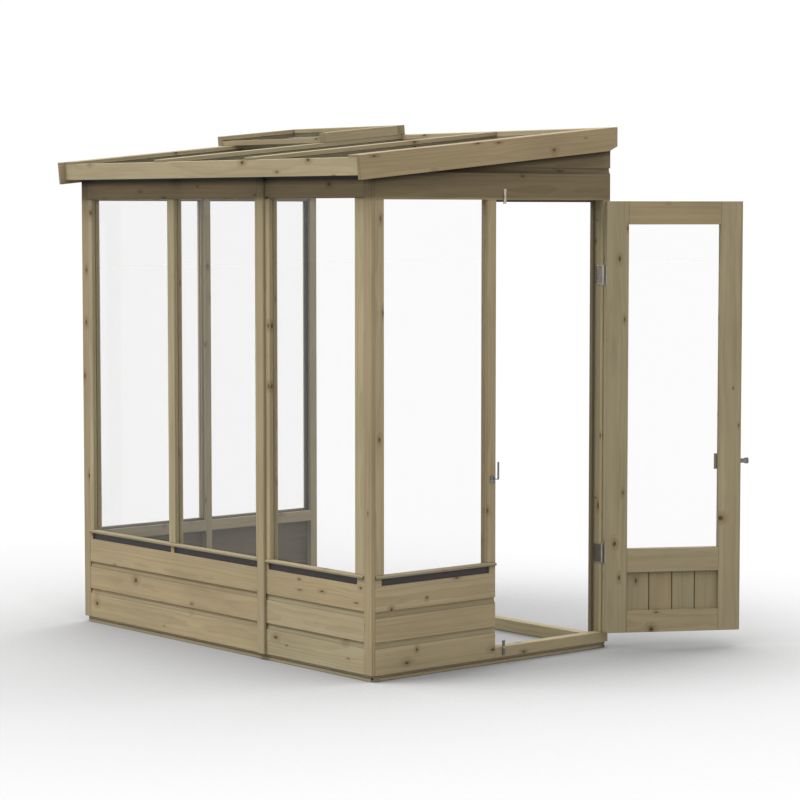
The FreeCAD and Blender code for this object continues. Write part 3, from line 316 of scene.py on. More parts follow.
    def rings(
        self, tree: Tree, grain: Socket, radius: Socket, halo: Socket, fibre: Socket
    ) -> Socket:
        """Growth rings, darker towards the end of each, and the streaks of the fibres.

        Args:
            tree: the node tree.
            grain: the grain coordinates.
            radius: distance from the heart.
            halo: where the rings bulge round a knot.
            fibre: fine noise along the fibres.

        Returns:
            The wood's colour before it is toned.
        """
        wobble = {0: self.stretched_noise(tree, grain, self.wobble), 1: self.wobble_rings}
        count = add(tree, "Math", {0: radius, 1: self.ring_mm * MM}, operation="DIVIDE")
        count = add(tree, "Math", wobble | {2: count}, operation="MULTIPLY_ADD")
        bulge = {0: halo, 1: self.bulge_rings, 2: count}
        count = add(tree, "Math", bulge, operation="MULTIPLY_ADD")
        part = add(tree, "Math", {0: count}, operation="FRACT")
        level = add(tree, "ValToRGB", {0: part}, stops=self.ring)
        depth = self.stretched_noise(tree, grain, self.ring_depth)
        level = add(tree, "Math", {0: level, 1: depth}, operation="MULTIPLY")
        streak = self.stretched_noise(tree, grain, self.streak)
        fine, drawn, ringed = self.shares
        mixed = add(tree, "Math", {0: fibre, 1: fine}, operation="MULTIPLY")
        mixed = add(tree, "Math", {0: streak, 1: drawn, 2: mixed}, operation="MULTIPLY_ADD")
        mixed = add(tree, "Math", {0: level, 1: ringed, 2: mixed}, operation="MULTIPLY_ADD")
        wood = tuple(zip(self.wood_stops, (linear(self.pale), linear(self.dark))))
        return add(tree, "ValToRGB", {0: mixed}, stops=wood)

    def board_tone(self, tree: Tree, colour: Socket, grain: Socket, tone: Socket) -> Socket:
        """Shift each board between green and warm, with long lighter and darker patches.

        Args:
            tree: the node tree.
            colour: the wood's colour.
            grain: the grain coordinates.
            tone: the board's own number from 0, green, to 1, warm.

        Returns:
            The toned colour.
        """
        tones = ((0.0, linear(self.green)), (0.5, linear(self.pale)), (1.0, linear(self.warm)))
        hue = add(tree, "ValToRGB", {0: tone}, stops=tones)
        toned = {0: self.tone_share, 6: colour, 7: hue}
        mixed = add(tree, "Mix", toned, 2, data_type="RGBA")
        span, least = self.patch_level
        patch = {0: self.stretched_noise(tree, grain, self.patch), 1: span, 2: least}
        level = add(tree, "Math", patch, operation="MULTIPLY_ADD")
        return add(tree, "VectorMath", {0: mixed, "Scale": level}, operation="SCALE")


@dataclass(frozen=True)
class ClearSheet:
    """Clear horticultural glass, 3 and 4 mm thick.

    It passes nearly all the light, and each face mirrors only the few percent that smooth glass
    does, so a pane shows as a faint grey veil with a sheen at low angles.
    """

    tint: str = "#FEFEFE"
    sheen: str = "#C4C4C4"
    shadow: str = "#E4E6E5"
    ior: float = 1.5
    roughness: float = 0.02

    def build(self) -> bpy.types.Material:
        """Make the material.

        Returns:
            A thin-sheet glass: light goes straight through it.
        """
        material, tree = empty_material("clear_horticultural_glass")
        inside = add(tree, "NewGeometry", {}, "Backfacing")
        indices = {0: inside, 1: 1 / self.ior - self.ior, 2: self.ior}
        ratio = add(tree, "Math", indices, operation="MULTIPLY_ADD")
        mirror = add(tree, "Fresnel", {"IOR": ratio})
        shadow = add(tree, "LightPath", {}, "Is Shadow Ray")
        lit = add(tree, "Math", {0: 1.0, 1: shadow}, operation="SUBTRACT")
        share = add(tree, "Math", {0: mirror, 1: lit}, operation="MULTIPLY")
        pass_on = {0: shadow, 6: linear(self.tint), 7: linear(self.shadow)}
        passed = add(tree, "Mix", pass_on, 2, data_type="RGBA")
        clear = add(tree, "BsdfTransparent", {"Color": passed})
        glossy = {"Color": linear(self.sheen), "Roughness": self.roughness}
        gloss = add(tree, "BsdfAnisotropic", glossy)
        sheet = add(tree, "MixShader", {0: share, 1: clear, 2: gloss})
        add(tree, "OutputMaterial", {"Surface": sheet})
        return material


@dataclass(frozen=True)
class RubberStrip:
    """Extruded black rubber, weathered: a dull dark grey, with paler scuffs drawn out along it."""

    colour: str = "#2E2A2A"
    scuffed: str = "#403B3B"
    scuffs: tuple[float, float, float] = (22.0, 22.0, 600.0)  # a metre, in X, Y and Z
    octaves: float = 3.0
    scuff_stops: tuple[float, float] = (0.35, 0.8)
    roughness: float = 0.6
    bump_mm: float = 0.2
    bump_strength: float = 0.2

    def build(self) -> bpy.types.Material:
        """Make the material.

        Returns:
            A dull dark rubber.
        """
        material, tree = empty_material("extruded_rubber")
        place = add(tree, "TexCoord", {}, "Object")
        scaled = add(tree, "VectorMath", {0: place, 1: self.scuffs}, operation="MULTIPLY")
        pattern = {"Vector": scaled, "Scale": 1.0, "Detail": self.octaves}
        scuffs = add(tree, "TexNoise", pattern, "Fac")
        greys = tuple(zip(self.scuff_stops, (linear(self.colour), linear(self.scuffed))))
        colour = add(tree, "ValToRGB", {0: scuffs}, stops=greys)
        relief = {"Strength": self.bump_strength, "Distance": self.bump_mm * MM}
        bump = add(tree, "Bump", {"Height": scuffs} | relief)
        surface = {"Base Color": colour, "Roughness": self.roughness, "Normal": bump}
        shader = add(tree, "BsdfPrincipled", surface)
        add(tree, "OutputMaterial", {"Surface": shader})
        return material


@dataclass(frozen=True)
class ZincPlate:
    """Zinc-plated mild steel, bright at first and now clouded: a soft grey shine, no mirror."""

    bright: str = "#B9B3A6"
    cloudy: str = "#A39D91"
    # painted shade in the slots of screws and on the hinge leaves' sunk middles
    recess_shade: str = "#3A3836"
    cloud_mm: float = 7.0
    octaves: float = 3.0
    cloud_stops: tuple[float, float] = (0.35, 0.65)
    roughness: tuple = ((0.3, 0.46), (0.7, 0.32))  # rougher where it is cloudy
    name: str = "zinc_plated_steel"

    def build(self) -> bpy.types.Material:
        """Make the material.

        Returns:
            A metal that reads recess_shade: painted shade in screw slots and sunk middles.
        """
        material, tree = empty_material(self.name)
        place = add(tree, "TexCoord", {}, "Object")
        pattern = {"Vector": place, "Scale": 1 / (self.cloud_mm * MM), "Detail": self.octaves}
        cloud = add(tree, "TexNoise", pattern, "Fac")
        greys = tuple(zip(self.cloud_stops, (linear(self.cloudy), linear(self.bright))))
        colour = add(tree, "ValToRGB", {0: cloud}, stops=greys)
        recess_shade = add(tree, "Attribute", {}, "Fac", attribute_name="recess_shade")
        sunk = {0: recess_shade, 6: colour, 7: linear(self.recess_shade)}
        colour = add(tree, "Mix", sunk, 2, data_type="RGBA")
        rough = add(tree, "ValToRGB", {0: cloud}, stops=self.roughness)
        surface = {"Base Color": colour, "Roughness": rough, "Metallic": 1.0}
        shader = add(tree, "BsdfPrincipled", surface)
        add(tree, "OutputMaterial", {"Surface": shader})
        return material


@dataclass(frozen=True)
class DarkerZinc(ZincPlate):
    """A darker grey copy of the zinc plate, with the same soft shine."""

    bright: str = "#7C7D7C"
    cloudy: str = "#666767"
    name: str = "darker_zinc_plated_steel"


def link_piece(
    name: str, mesh: bmesh.types.BMesh, material: bpy.types.Material
) -> bpy.types.Object:
    """Put a finished mesh into the scene as an object at the origin.

    Args:
        name: the piece's name.
        mesh: its shape in the row frame; it is freed.
        material: its finish.

    Returns:
        The new object.
    """
    data = bpy.data.meshes.new(name)
    mesh.to_mesh(data)
    mesh.free()
    data.materials.append(material)
    piece = bpy.data.objects.new(name, data)
    bpy.context.scene.collection.objects.link(piece)
    return piece


@dataclass
class Board:
    """One piece of timber in a mesh, with its own axes."""

    verts: list[bmesh.types.BMVert]
    side: float = 0.3  # a long face's normal makes a smaller cosine with the length

    def axes(self) -> Matrix:
        """Find the board's own axes. Of edges or faces that measure the same, the last counts.

        Returns:
            A matrix whose rows are its length, its width and its thickness.
        """
        edges = {edge for vert in self.verts for edge in vert.link_edges}
        faces = {face for vert in self.verts for face in vert.link_faces}
        longest = max(edges, key=lambda edge: (round(edge.calc_length(), 4), edge.index))
        length = (longest.verts[1].co - longest.verts[0].co).normalized()
        sides = [face for face in faces if abs(face.normal.dot(length)) < self.side]
        broad = max(sides, key=lambda face: (round(face.calc_area(), 6), face.index))
        thick = (broad.normal - broad.normal.dot(length) * length).normalized()
        return Matrix((length, thick.cross(length), thick))


@dataclass
class Timber:
    """The eased and grained copy of one CAD node's timber."""

    node: str
    body: str
    seed: int
    tone: tuple[float, float]
    ease: float = 1.2 * MM
    sharp: float = math.radians(28)  # faces that meet at a larger angle have an arris
    curved: float = 0.002  # and between this angle and that one, in radians, they are one curve
    heart: tuple[float, float] = (35 * MM, 110 * MM)  # how far behind the board the heart is
    start: float = 40.0  # the board's place along its tree, in metres, is anywhere up to this
    aside: float = 0.04
    shade: float = 1.0
    # whether the node takes the painted shade under the eaves
    eaves_shaded: float = 0.0
    is_cladding: bool = False
    end_shade: float = 0.74
    top_shade: float = 0.86  # painted shade on faces that look up
    under_shade: float = 0.4  # painted shade on faces that look down
    arris_shade: tuple[float, float] = (0.5, 0.84)  # painted shade on arrises that face down, and a lighter one on upright arrises
    hollow_shade: tuple[float, float] = (1.25, -1.4)  # painted shade in the scoops: lighter where they barely slope, darker the more they slope
    inner_shade: float = 0.34  # painted shade on the inner faces of the cladding
    middle: tuple[float, float, float] = (0.0, -0.6, 1.0)  # a point inside the greenhouse
    # Cosines of a face's normal, which tell the kinds of face apart
    end: float = 0.8  # with the board's length: more on an end
    hollow: tuple[float, float] = (0.02, 0.97)  # with its width: between these in a scoop
    broad: float = 0.99  # with its thickness: more on a flat broad face
    level: float = 0.9  # with the vertical: more on a top, and less than its negative underneath
    upright: tuple[float, float] = (-0.2, 0.3)  # with the vertical: less than the first faces down

    def close_boards(self, mesh: bmesh.types.BMesh) -> None:
        """Split the node's loose triangles into its boards and close each one.

        The triangles of a board follow each other, so a board ends where every edge has met
        its other side. Boards that touch stay apart. Each vertex gets its board's number.

        Args:
            mesh: the node's mesh.
        """
        waiting: dict[tuple, int] = {}
        group: list[bmesh.types.BMFace] = []
        groups: list[list[int]] = []
        for face in mesh.faces:
            group.append(face)
            corners = [tuple(round(c / GRID) for c in vert.co) for vert in face.verts]
            for start, stop in zip(corners, corners[1:] + corners[:1]):
                if waiting.get((stop, start)):
                    waiting[(stop, start)] -= 1
                    if not waiting[(stop, start)]:
                        del waiting[(stop, start)]
                else:
                    waiting[(start, stop)] = waiting.get((start, stop), 0) + 1
            if not waiting:
                groups.append(sorted({vert.index for one in group for vert in one.verts}))
                group = []
        marks = mesh.verts.layers.int.new("board")
        mesh.verts.ensure_lookup_table()
        boards = [[mesh.verts[k] for k in indices] for indices in groups]
        for number, verts in enumerate(boards):
            for vert in verts:
                vert[marks] = number
        for verts in boards:
            bmesh.ops.remove_doubles(mesh, verts=verts, dist=MERGE)

    def by_board(self, mesh: bmesh.types.BMesh) -> list[list[bmesh.types.BMVert]]:
        """Sort the mesh's vertices by board.

        Args:
            mesh: the node's mesh, with its board numbers.

        Returns:
            One list of vertices for each board.
        """
        marks = mesh.verts.layers.int["board"]
        groups: dict[int, list] = {}
        for vert in mesh.verts:
            groups.setdefault(vert[marks], []).append(vert)
        return [groups[number] for number in sorted(groups)]

    def build(self, material: bpy.types.Material) -> bpy.types.Object:
        """Make the copy.

        Args:
            material: the timber's finish.

        Returns:
            The piece, which stands for the CAD node.
        """
        draw = random.Random(self.seed)
        mesh = bmesh.new()
        mesh.from_mesh(frame["nodes"][self.node].data)
        self.close_boards(mesh)
        whole = {"verts": mesh.verts[:], "edges": mesh.edges[:]}
        bmesh.ops.dissolve_limit(mesh, angle_limit=FLAT, **whole)
        mesh.edges.index_update()
        mesh.faces.index_update()
        axes = [Board(verts).axes() for verts in self.by_board(mesh)]
        self.mark_shade(mesh, axes)
        self.ease_edges(mesh)
        self.mark_grain(mesh, axes, draw)
        mesh.verts.layers.int.remove(mesh.verts.layers.int["board"])
        piece = link_piece(f"{self.node}_timber", mesh, material)
        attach(piece, self.body)
        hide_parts(self.node)
        return piece

    def ease_edges(self, mesh: bmesh.types.BMesh) -> None:
        """Round every arris and leave the flats flat.

        Args:
            mesh: the node's merged mesh.
        """
        two_sided = [edge for edge in mesh.edges if len(edge.link_faces) == 2]
        sharp = [edge for edge in two_sided if edge.calc_face_angle(0) > self.sharp]
        soft = {edge for edge in two_sided if self.curved < edge.calc_face_angle(0) < self.sharp}
        for face in mesh.faces:
            face.smooth = any(edge in soft for edge in face.edges)
        eased = bmesh.ops.bevel(
            mesh, geom=sharp, offset=self.ease, offset_type="OFFSET", affect="EDGES",
            segments=2, profile=0.5, material=-1, clamp_overlap=True,
        )
        shade = mesh.faces.layers.float["shade"]
        down, up = self.upright
        for face in eased["faces"]:
            face.smooth = True
            face.normal_update()
            # painted shade on arrises that do not face up
            if face.normal.z < up and not self.is_cladding:
                face[shade] *= self.arris_shade[face.normal.z > down]

    def mark_shade(self, mesh: bmesh.types.BMesh, axes: list[Matrix]) -> None:
        """Store each face's painted shade and end grain tone, and whether it takes the eaves shade.

        Args:
            mesh: the node's merged mesh.
            axes: each board's axes.
        """
        shade = mesh.faces.layers.float.new("shade")
        eaves_shaded = mesh.faces.layers.float.new("eaves_shaded")
        gentle, steep = self.hollow
        for (length, width, thick), group in zip(axes, self.by_board(mesh)):
            for face in {face for vert in group for face in vert.link_faces}:
                level = self.shade
                slope = abs(face.normal.dot(width))
                inward = face.normal.dot(Vector(self.middle) - face.calc_center_median()) > 0
                if abs(face.normal.dot(length)) > self.end:
                    level *= self.end_shade
                # painted shade in the scoops and grooves, set by their slope
                elif self.is_cladding and gentle < slope < steep:
                    level *= self.hollow_shade[0] + self.hollow_shade[1] * slope
                # painted shade on the inner faces of the cladding
                elif self.is_cladding and inward and abs(face.normal.dot(thick)) > self.broad:
                    level *= self.inner_shade
                # painted shade on faces that look up or down
                if face.normal.z > self.level:
                    level *= self.top_shade
                elif face.normal.z < -self.level:
                    level *= self.under_shade
                face[shade] = level
                face[eaves_shaded] = self.eaves_shaded

    def mark_grain(
        self, mesh: bmesh.types.BMesh, axes: list[Matrix], draw: random.Random
    ) -> None:
        """Store grain coordinates and a tone on every board.

        Args:
            mesh: the eased mesh.
            axes: each board's axes.
            draw: this node's random numbers.
        """
        grain = mesh.verts.layers.float_vector.new("grain")
        tone = mesh.verts.layers.float.new("tone")
        for turn, group in zip(axes, self.by_board(mesh)):
            spans = [[(turn @ vert.co)[k] for vert in group] for k in range(3)]
            centre = Vector([(max(span) + min(span)) / 2 for span in spans])
            behind = draw.uniform(*self.heart) + (max(spans[2]) - min(spans[2])) / 2
            flip = draw.choice((-1, 1))
            along, aside = draw.uniform(0, self.start), draw.uniform(-self.aside, self.aside)
            offset = Vector((along, aside, behind * flip)) - centre
            colour = draw.uniform(*self.tone)
            for vert in group:
                vert[grain] = turn @ vert.co + offset
                vert[tone] = colour


@dataclass
class Carpentry:
    """All the timber of the greenhouse, node by node."""

    material: bpy.types.Material
    first_seed: int = 11
    tone: tuple[float, float] = (0.25, 0.75)  # the range that a board's own tone is drawn from
    tones: dict[str, tuple[float, float]] = field(default_factory=lambda: {
        "barge_board_right": (0.85, 0.95), "corner_strips": (0.65, 0.75),
        "door_rails": (0.45, 0.8), "fascia": (0.45, 0.5), "front_joint_strip": (0.45, 0.5),
        "left_wall_framing": (0.2, 0.5), "right_gable_boards": (0.6, 0.8),
        "vent_sash": (0.4, 0.5),
    })
    # levels that darken whole nodes; on the door stops and the right wall's framing they are
    # painted shade
    shades: dict[str, float] = field(default_factory=lambda: {
        "barge_board_right": 0.93, "corner_strips": 0.88, "door_boards": 0.94,
        "door_stops": 0.45, "front_joint_strip": 0.92, "left_wall_framing": 0.88,
        "right_wall_framing": 0.8, "roof_bars": 0.86, "window_sills": 0.72,
    })
    groove_shade: tuple[float, float] = (1.25, -1.2)  # painted shade in the door's narrow grooves
    rough_sawn: tuple[str, ...] = ("base_bearers", "back_bottom_beam")
    rough_ease: float = 2.0 * MM
    walls: tuple[str, ...] = (  # how the names end of the nodes that take the painted eaves shade
        "casings", "cladding", "door_stops", "framing", "gable_boards", "strip", "strips",
    )

    def build(self) -> None:
        """Dress every node of the timber slot."""
        bodies = frame["record"]["behaviour"]["bodies"]
        body_of = {node: body for body, nodes in bodies.items() for node in nodes}
        subparts = frame["record"]["subparts"]
        wooden = [s["node"] for s in subparts if s["material_slot"] == Slot.TIMBER.value]
        for seed, node in enumerate(sorted(wooden), self.first_seed):
            timber = Timber(node, body_of[node], seed, self.tones.get(node, self.tone))
            if node in self.rough_sawn:
                timber.ease = self.rough_ease
            timber.shade = self.shades.get(node, 1.0)
            timber.eaves_shaded = float(node.endswith(self.walls))
            timber.is_cladding = node.endswith(("cladding", "boards"))
            if node == "door_boards":
                timber.hollow_shade = self.groove_shade
            piece = timber.build(self.material)
            log.info("timber %s: %d faces", piece.name, len(piece.data.polygons))


@dataclass
class HingeLeaves:
    """The leaves of the door's hinges: a rolled rim round a sunk middle in painted shade."""

    node: str
    body: str
    rim: float = 5.0 * MM
    sunk: float = 0.1 * MM
    broad: float = 0.0012  # square metres: only a leaf's two faces are larger
    # how far the painted shade of the sunk middle goes towards the recess colour
    dull: float = 0.5

    def build(self, material: bpy.types.Material) -> bpy.types.Object:
        """Make the copy.

        Args:
            material: the metal.

        Returns:
            The piece, which stands for the CAD node.
        """
        mesh = bmesh.new()
        mesh.from_mesh(frame["nodes"][self.node].data)
        bmesh.ops.remove_doubles(mesh, verts=mesh.verts[:], dist=MERGE)
        whole = {"verts": mesh.verts[:], "edges": mesh.edges[:]}
        bmesh.ops.dissolve_limit(mesh, angle_limit=FLAT, **whole)
        recess_shade = mesh.faces.layers.float.new("recess_shade")
        faces = [face for face in mesh.faces if face.calc_area() > self.broad]
        bmesh.ops.inset_individual(mesh, faces=faces, thickness=self.rim, depth=-self.sunk)
        for face in mesh.faces:
            face[recess_shade] = 0.0
        # painted shade on the sunk middle
        for face in faces:
            face[recess_shade] = self.dull
        piece = link_piece(f"{self.node}_rimmed", mesh, material)
        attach(piece, self.body)
        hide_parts(self.node)
        return piece


@dataclass
class ScrewSet:
    """Cross-slot screws that hold one fitting.

    A head starts as a square grid. Its rim is drawn in to a circle, and the five cells of the
    middle cross sink.
    """

    name: str
    body: str
    normal: Vector  # the way the heads face
    spots: list[Vector]
    radius: float = 3.2 * MM
    proud: float = 0.6 * MM
    slot_depth: float = 0.4 * MM
    cells: int = 5
    # Shares of the radius
    slot_line: float = 0.1  # a cell of the cross has its middle closer to an axis
    slot_end: float = 0.5  # and closer to the head's middle
    rim: float = 0.9  # the grid's outer corners lie further out
    core: float = 0.3  # the corners of its middle cell lie closer in
    pinch: float = 0.6  # and are drawn together to this share of their distance
    # Shares of the head's height
    dome: float = 0.5  # how much lower the rim is
    skirt: float = 0.45  # how high the rim's edge is

    def head(self, mesh: bmesh.types.BMesh, place: Matrix) -> None:
        """Make one head with its cross slot.

        Args:
            mesh: the mesh that takes the head.
            place: where the head goes; its own Z faces out.
        """
        size = self.radius
        grid = {"x_segments": self.cells, "y_segments": self.cells, "size": size}
        disc = bmesh.ops.create_grid(mesh, **grid)["verts"]
        bmesh.ops.translate(mesh, verts=disc, vec=(0, 0, self.proud))
        cross = []
        for face in dict.fromkeys(face for vert in disc for face in vert.link_faces):
            near, far = sorted(abs(c) for c in face.calc_center_median().xy)
            if near < self.slot_line * size and far < self.slot_end * size:
                cross.append(face)
        for vert in disc:
            reach = max(abs(vert.co.x), abs(vert.co.y))
            if reach > self.rim * size:
                vert.co.xy = vert.co.xy * (size / vert.co.xy.length)
                vert.co.z -= self.dome * self.proud
            elif reach < self.core * size:
                vert.co.xy = vert.co.xy * self.pinch
        rim = list(dict.fromkeys(e for v in disc for e in v.link_edges if e.is_boundary))
        skirt = bmesh.ops.extrude_edge_only(mesh, edges=rim)["geom"]
        low = [item for item in skirt if isinstance(item, bmesh.types.BMVert)]
        bmesh.ops.translate(mesh, verts=low, vec=(0, 0, -self.skirt * self.proud))
        foot = list(dict.fromkeys(e for v in low for e in v.link_edges if e.is_boundary))
        bmesh.ops.contextual_create(mesh, geom=foot)
        sunk = bmesh.ops.extrude_face_region(mesh, geom=cross)["geom"]
        bottom = [item for item in sunk if isinstance(item, bmesh.types.BMVert)]
        left = [face for face in cross if face.is_valid]
        bmesh.ops.delete(mesh, geom=left, context="FACES_ONLY")
        bmesh.ops.translate(mesh, verts=bottom, vec=(0, 0, -self.slot_depth))
        # painted shade in the slots
        recess_shade = mesh.faces.layers.float["recess_shade"]
        for item in sunk:
            if isinstance(item, bmesh.types.BMFace):
                item[recess_shade] = 1.0
        bmesh.ops.transform(mesh, matrix=place, verts=disc + low + bottom)

    def build(self, material: bpy.types.Material) -> bpy.types.Object:
        """Make the set.

        Args:
            material: the metal.

        Returns:
            One piece with all the heads.
        """
        draw = random.Random(len(self.name))
        mesh = bmesh.new()
        mesh.faces.layers.float.new("recess_shade")
        base = self.normal.to_track_quat("Z", "Y").to_matrix().to_4x4()
        for spot in self.spots:
            turn = Matrix.Rotation(draw.uniform(0, math.pi), 4, "Z")
            self.head(mesh, Matrix.Translation(spot) @ base @ turn)
        bmesh.ops.recalc_face_normals(mesh, faces=mesh.faces[:])
        piece = link_piece(self.name, mesh, material)
        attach(piece, self.body)
        return piece


@dataclass
class Fixings:
    """The screws of the hinges, the latch, its keep and the vent stay, in millimetres.

    Places on the door are given with the door closed, and those on the vent along the roof.
    """

    material: bpy.types.Material
    hinge_at: tuple[float, float] = (959.5, -39.0)
    hinge_z: tuple[float, float] = (381.0, 1487.0)
    leaf_face: float = 0.1  # the leaves' faces stand this far from the hinge's middle
    leaf_screws: tuple = ((-14.0, 0.0), (-33.0, 25.0), (-33.0, -25.0))
    flush_proud: float = 0.08  # the door hinges' screws are sunk in their leaves
    flush_slot: float = 0.05
    door_open: float = 149.5
    plate_at: tuple[float, float] = (958.0, -511.0)
    plate_z: tuple[float, float] = (718.0, 766.0)
    guide_at: tuple[float, float] = (957.5, -565.5)
    guide_z: tuple[float, float] = (724.2, 796.8)
    keep_at: tuple[float, float] = (957.5, -631.0)
    keep_z: tuple[float, float] = (709.0, 723.0)
    pitch: float = math.radians(5.54)
    vent_back: tuple[float, float] = (-27.0, 2064.106)
    vent_hinges: tuple[float, float] = (-890.5, -390.5)
    vent_apart: tuple[float, float] = (-22.0, 22.0)
    vent_leaf: tuple[float, float] = (15.5, 1.9)  # along a leaf from its fold, and off its back
    small: float = 2.4  # the radius of the heads at the stay
    bracket_x: float = -303.05
    bracket_y: tuple[float, float] = (-336.5, -317.5)
    bracket_z: float = 9.8
    peg_x: float = -320.55
    peg_yz: tuple = ((-345.0, 1981.0), (-329.0, 1997.0))

    def swung(self, x: float, y: float, z: float) -> Vector:
        """Turn a point of the closed door to where the door stands.

        Args:
            x: its X with the door closed.
            y: its Y with the door closed.
            z: its height.

        Returns:
            The point in metres.
        """
        pin = Vector((*self.hinge_at, 0))
        turn = Matrix.Rotation(math.radians(self.door_open), 3, "Z")
        return (pin + turn @ (Vector((x, y, z)) - pin)) * MM

    def on_roof(self, x: float, y: float, z: float) -> Vector:
        """Place a point that is given flat, from the vent's back edge up the slope.

        Args:
            x: its X.
            y: how far up the slope.
            z: how far above the roof bars.

        Returns:
            The point in metres.
        """
        tilted = Matrix.Rotation(self.pitch, 3, "X") @ Vector((x, y, z))
        return (tilted + Vector((0, *self.vent_back))) * MM

    def door_sets(self) -> list[ScrewSet]:
        """List the sets of screws at the door.

        Returns:
            The sets, each with the body it rides on.
        """
        pin_x, pin_y = self.hinge_at
        turn = Matrix.Rotation(math.radians(self.door_open), 3, "Z")
        out, front, back = Vector((1, 0, 0)), Vector((0, -1, 0)), Vector((0, 1, 0))
        flush = {"proud": self.flush_proud * MM, "slot_depth": self.flush_slot * MM}
        places = [(pin_x + x, z + dz) for z in self.hinge_z for x, dz in self.leaf_screws]
        fixed = [Vector((x, pin_y + self.leaf_face, z)) * MM for x, z in places]
        moving = [self.swung(x, pin_y - self.leaf_face, z) for x, z in places]
        plate = [self.swung(*self.plate_at, z) for z in self.plate_z]
        feet = [self.swung(*self.guide_at, z) for z in self.guide_z]
        keep = [Vector((*self.keep_at, z)) * MM for z in self.keep_z]
        return [
            ScrewSet("door_hinge_frame_screws", "frame", front, fixed, **flush),
            ScrewSet("door_hinge_door_screws", "door", turn @ back, moving, **flush),
            ScrewSet("latch_plate_screws", "door", turn @ out, plate),
            ScrewSet("latch_guide_screws", "door", turn @ out, feet),
            ScrewSet("latch_keep_screws", "frame", out, keep),
        ]

    def vent_sets(self) -> list[ScrewSet]:
        """List the sets of screws at the roof vent.

        Returns:
            The sets, each with the body it rides on.
        """
        tilt = Matrix.Rotation(self.pitch, 3, "X")
        up, back, side = Vector((0, 0, 1)), Vector((0, 1, 0)), -Vector((1, 0, 0))
        along, off = self.vent_leaf
        spread = [x + dx for x in self.vent_hinges for dx in self.vent_apart]
        on_rail = [self.on_roof(x, along, off) for x in spread]
        on_sash = [self.on_roof(x, off, along) for x in spread]
        bracket = [self.on_roof(self.bracket_x, y, self.bracket_z) for y in self.bracket_y]
        peg = [Vector((self.peg_x, y, z)) * MM for y, z in self.peg_yz]
        small = self.small * MM
        return [
            ScrewSet("vent_hinge_frame_screws", "frame", tilt @ up, on_rail),
            ScrewSet("vent_hinge_sash_screws", "roof_vent", tilt @ back, on_sash),
            ScrewSet("vent_bracket_screws", "roof_vent", side, bracket, small),
            ScrewSet("vent_peg_screws", "frame", side, peg, small),
        ]

    def build(self) -> None:
        """Make the hinge leaves and every set of screws."""
        HingeLeaves("door_hinge_frame_leaves", "frame").build(self.material)
        HingeLeaves("door_hinge_door_leaves", "door").build(self.material)
        for one in self.door_sets() + self.vent_sets():
            piece = one.build(self.material)
            log.info("screws %s: %d", piece.name, len(one.spots))


@dataclass
class Finishes:
    """Gives the CAD nodes that keep their own shape a finish."""

    glass: bpy.types.Material
    rubber: bpy.types.Material
    zinc: bpy.types.Material
    darker_zinc: bpy.types.Material
    darker_fittings: tuple[str, ...] = ("latch_bar", "latch_keep", "threshold_turn_button")

    def build(self) -> None:
        """Set each node's material by its slot, and the darker zinc of some fittings by name."""
        by_slot = {Slot.GLAZING: self.glass, Slot.STRIP: self.rubber, Slot.ZINC: self.zinc}
        for part in frame["record"]["subparts"]:
            material = by_slot.get(Slot(part["material_slot"]))
            if part["node"] in self.darker_fittings:
                material = self.darker_zinc
            if material is None:
                continue
            mesh = frame["nodes"][part["node"]].data
            mesh.materials.clear()
            mesh.materials.append(material)
            log.info("finish of %s: %s", part["node"], material.name)


@dataclass(frozen=True)
class Lamp:
    """A soft distant lamp."""

    name: str
    strength: float  # power per area
    spread: float  # how wide it looks from the ground, in degrees
    height: float  # its elevation in degrees
    side: float  # its bearing in degrees, from the front towards the door end

    def build(self) -> None:
        """Hang the lamp."""
        data = bpy.data.lights.new(self.name, "SUN")
        data.energy = self.strength
        data.angle = math.radians(self.spread)
        lamp = bpy.data.objects.new(self.name, data)
        turn = (math.radians(90 - self.height), 0.0, math.radians(self.side))
        lamp.rotation_euler = Euler(turn)
        bpy.context.scene.collection.objects.link(lamp)


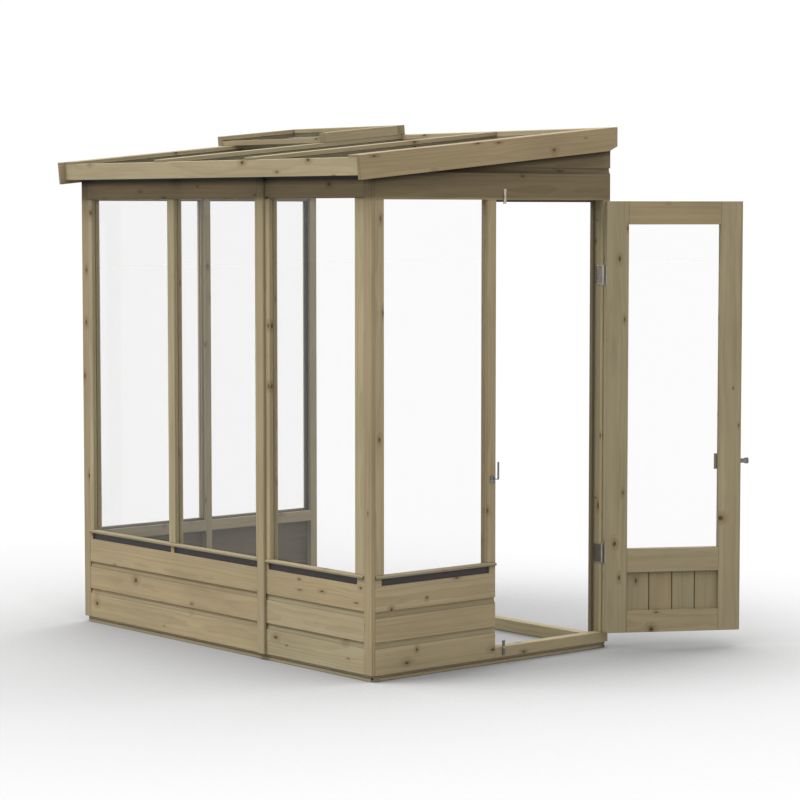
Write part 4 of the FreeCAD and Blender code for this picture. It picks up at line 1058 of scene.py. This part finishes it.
@dataclass
class Studio:
    """Pale floor, soft light and the camera."""

    camera_at: tuple[float, float, float] = (8.1922, -7.2189, 1.7368)
    camera_turn: tuple[float, float, float] = (85.807, 0.0, 49.723)
    camera_reach: float = 200.0
    lens_mm: float = 115.88
    sensor_mm: float = 36.0
    lamps: tuple[Lamp, ...] = (
        Lamp("key_light", strength=2.3, spread=25, height=60, side=-35),
        Lamp("back_light", strength=1.4, spread=50, height=40, side=180),
    )
    floor_seen: str = "#B1B1B1"
    floor_bounce: str = "#959595"
    floor_size: float = 60.0
    floor_shade: float = 0.72
    shade_reach: float = 3.0
    shade_samples: int = 8
    sky: float = 2.1
    sky_seen: float = 1.02  # white, and as bright as the far floor

    def build(self) -> None:
        """Set up everything around the object."""
        scene = bpy.context.scene
        scene.view_settings.view_transform = "Standard"
        self.floor()
        self.world(scene)
        for lamp in self.lamps:
            lamp.build()
        self.camera(scene)

    def floor(self) -> None:
        """A wide pale floor that keeps the object's shadow, with soft shade painted near it, and
        fades to white.
        """
        material, tree = empty_material("studio_floor")
        seen = self.seen(tree)
        # painted shade: ambient occlusion darkens the floor's colour near the object
        reach = {"Distance": self.shade_reach}
        near = add(tree, "AmbientOcclusion", reach, "AO", samples=self.shade_samples)
        light = {0: near, 1: self.floor_shade, 2: 1 - self.floor_shade}
        shade = add(tree, "Math", light, operation="MULTIPLY_ADD")
        plain = {0: linear(self.floor_seen)[:3], "Scale": shade}
        shaded = add(tree, "VectorMath", plain, operation="SCALE")
        either = {0: seen, 6: linear(self.floor_bounce), 7: shaded}
        colour = add(tree, "Mix", either, 2, data_type="RGBA")
        diffuse = add(tree, "BsdfDiffuse", {"Color": colour})
        add(tree, "OutputMaterial", {"Surface": diffuse})
        mesh = bmesh.new()
        bmesh.ops.create_grid(mesh, x_segments=1, y_segments=1, size=self.floor_size)
        link_piece("studio_floor", mesh, material)

    def seen(self, tree: Tree) -> Socket:
        """Tell the rays of the camera from those of the light.

        Args:
            tree: the node tree.

        Returns:
            One where the camera sees a surface, by itself or in metal or glass.
        """
        path = add(tree, "LightPath", {}).node.outputs
        direct = {0: path["Is Camera Ray"], 1: path["Is Glossy Ray"]}
        seen = add(tree, "Math", direct, operation="MAXIMUM")
        through = {0: seen, 1: path["Is Transmission Ray"]}
        return add(tree, "Math", through, operation="MAXIMUM")

    def world(self, scene: bpy.types.Scene) -> None:
        """Soft light from above, weaker towards the horizon, and white where it is seen.

        Args:
            scene: the scene that takes the world.
        """
        world = bpy.data.worlds.new("soft_studio")
        world.use_nodes = True
        tree = world.node_tree
        tree.nodes.clear()
        way = add(tree, "TexCoord", {}, "Generated")
        height = add(tree, "SeparateXYZ", {0: way}, "Z")
        light = add(tree, "Math", {0: height, 1: self.sky}, operation="MULTIPLY")
        light = add(tree, "Math", {0: light, 1: 0.0}, operation="MAXIMUM")
        level = add(tree, "Mix", {0: self.seen(tree), 2: light, 3: self.sky_seen})
        back = add(tree, "Background", {"Color": linear("#FFFFFF"), "Strength": level})
        add(tree, "OutputWorld", {"Surface": back})
        scene.world = world

    def camera(self, scene: bpy.types.Scene) -> None:
        """Stand the camera where the photograph was taken from.

        Args:
            scene: the scene that takes the camera.
        """
        data = bpy.data.cameras.new("camera")
        data.lens = self.lens_mm
        data.sensor_width = self.sensor_mm
        data.clip_end = self.camera_reach
        camera = bpy.data.objects.new("camera", data)
        camera.location = self.camera_at
        camera.rotation_euler = Euler([math.radians(a) for a in self.camera_turn])
        scene.collection.objects.link(camera)
        scene.camera = camera


def main() -> None:
    """Build the visual model in order."""
    logging.basicConfig(level=logging.INFO)
    zinc = ZincPlate().build()
    Carpentry(TreatedSoftwood().build()).build()
    Finishes(ClearSheet().build(), RubberStrip().build(), zinc, DarkerZinc().build()).build()
    Fixings(zinc).build()
    Studio().build()


if __name__ == "__main__":
    main()
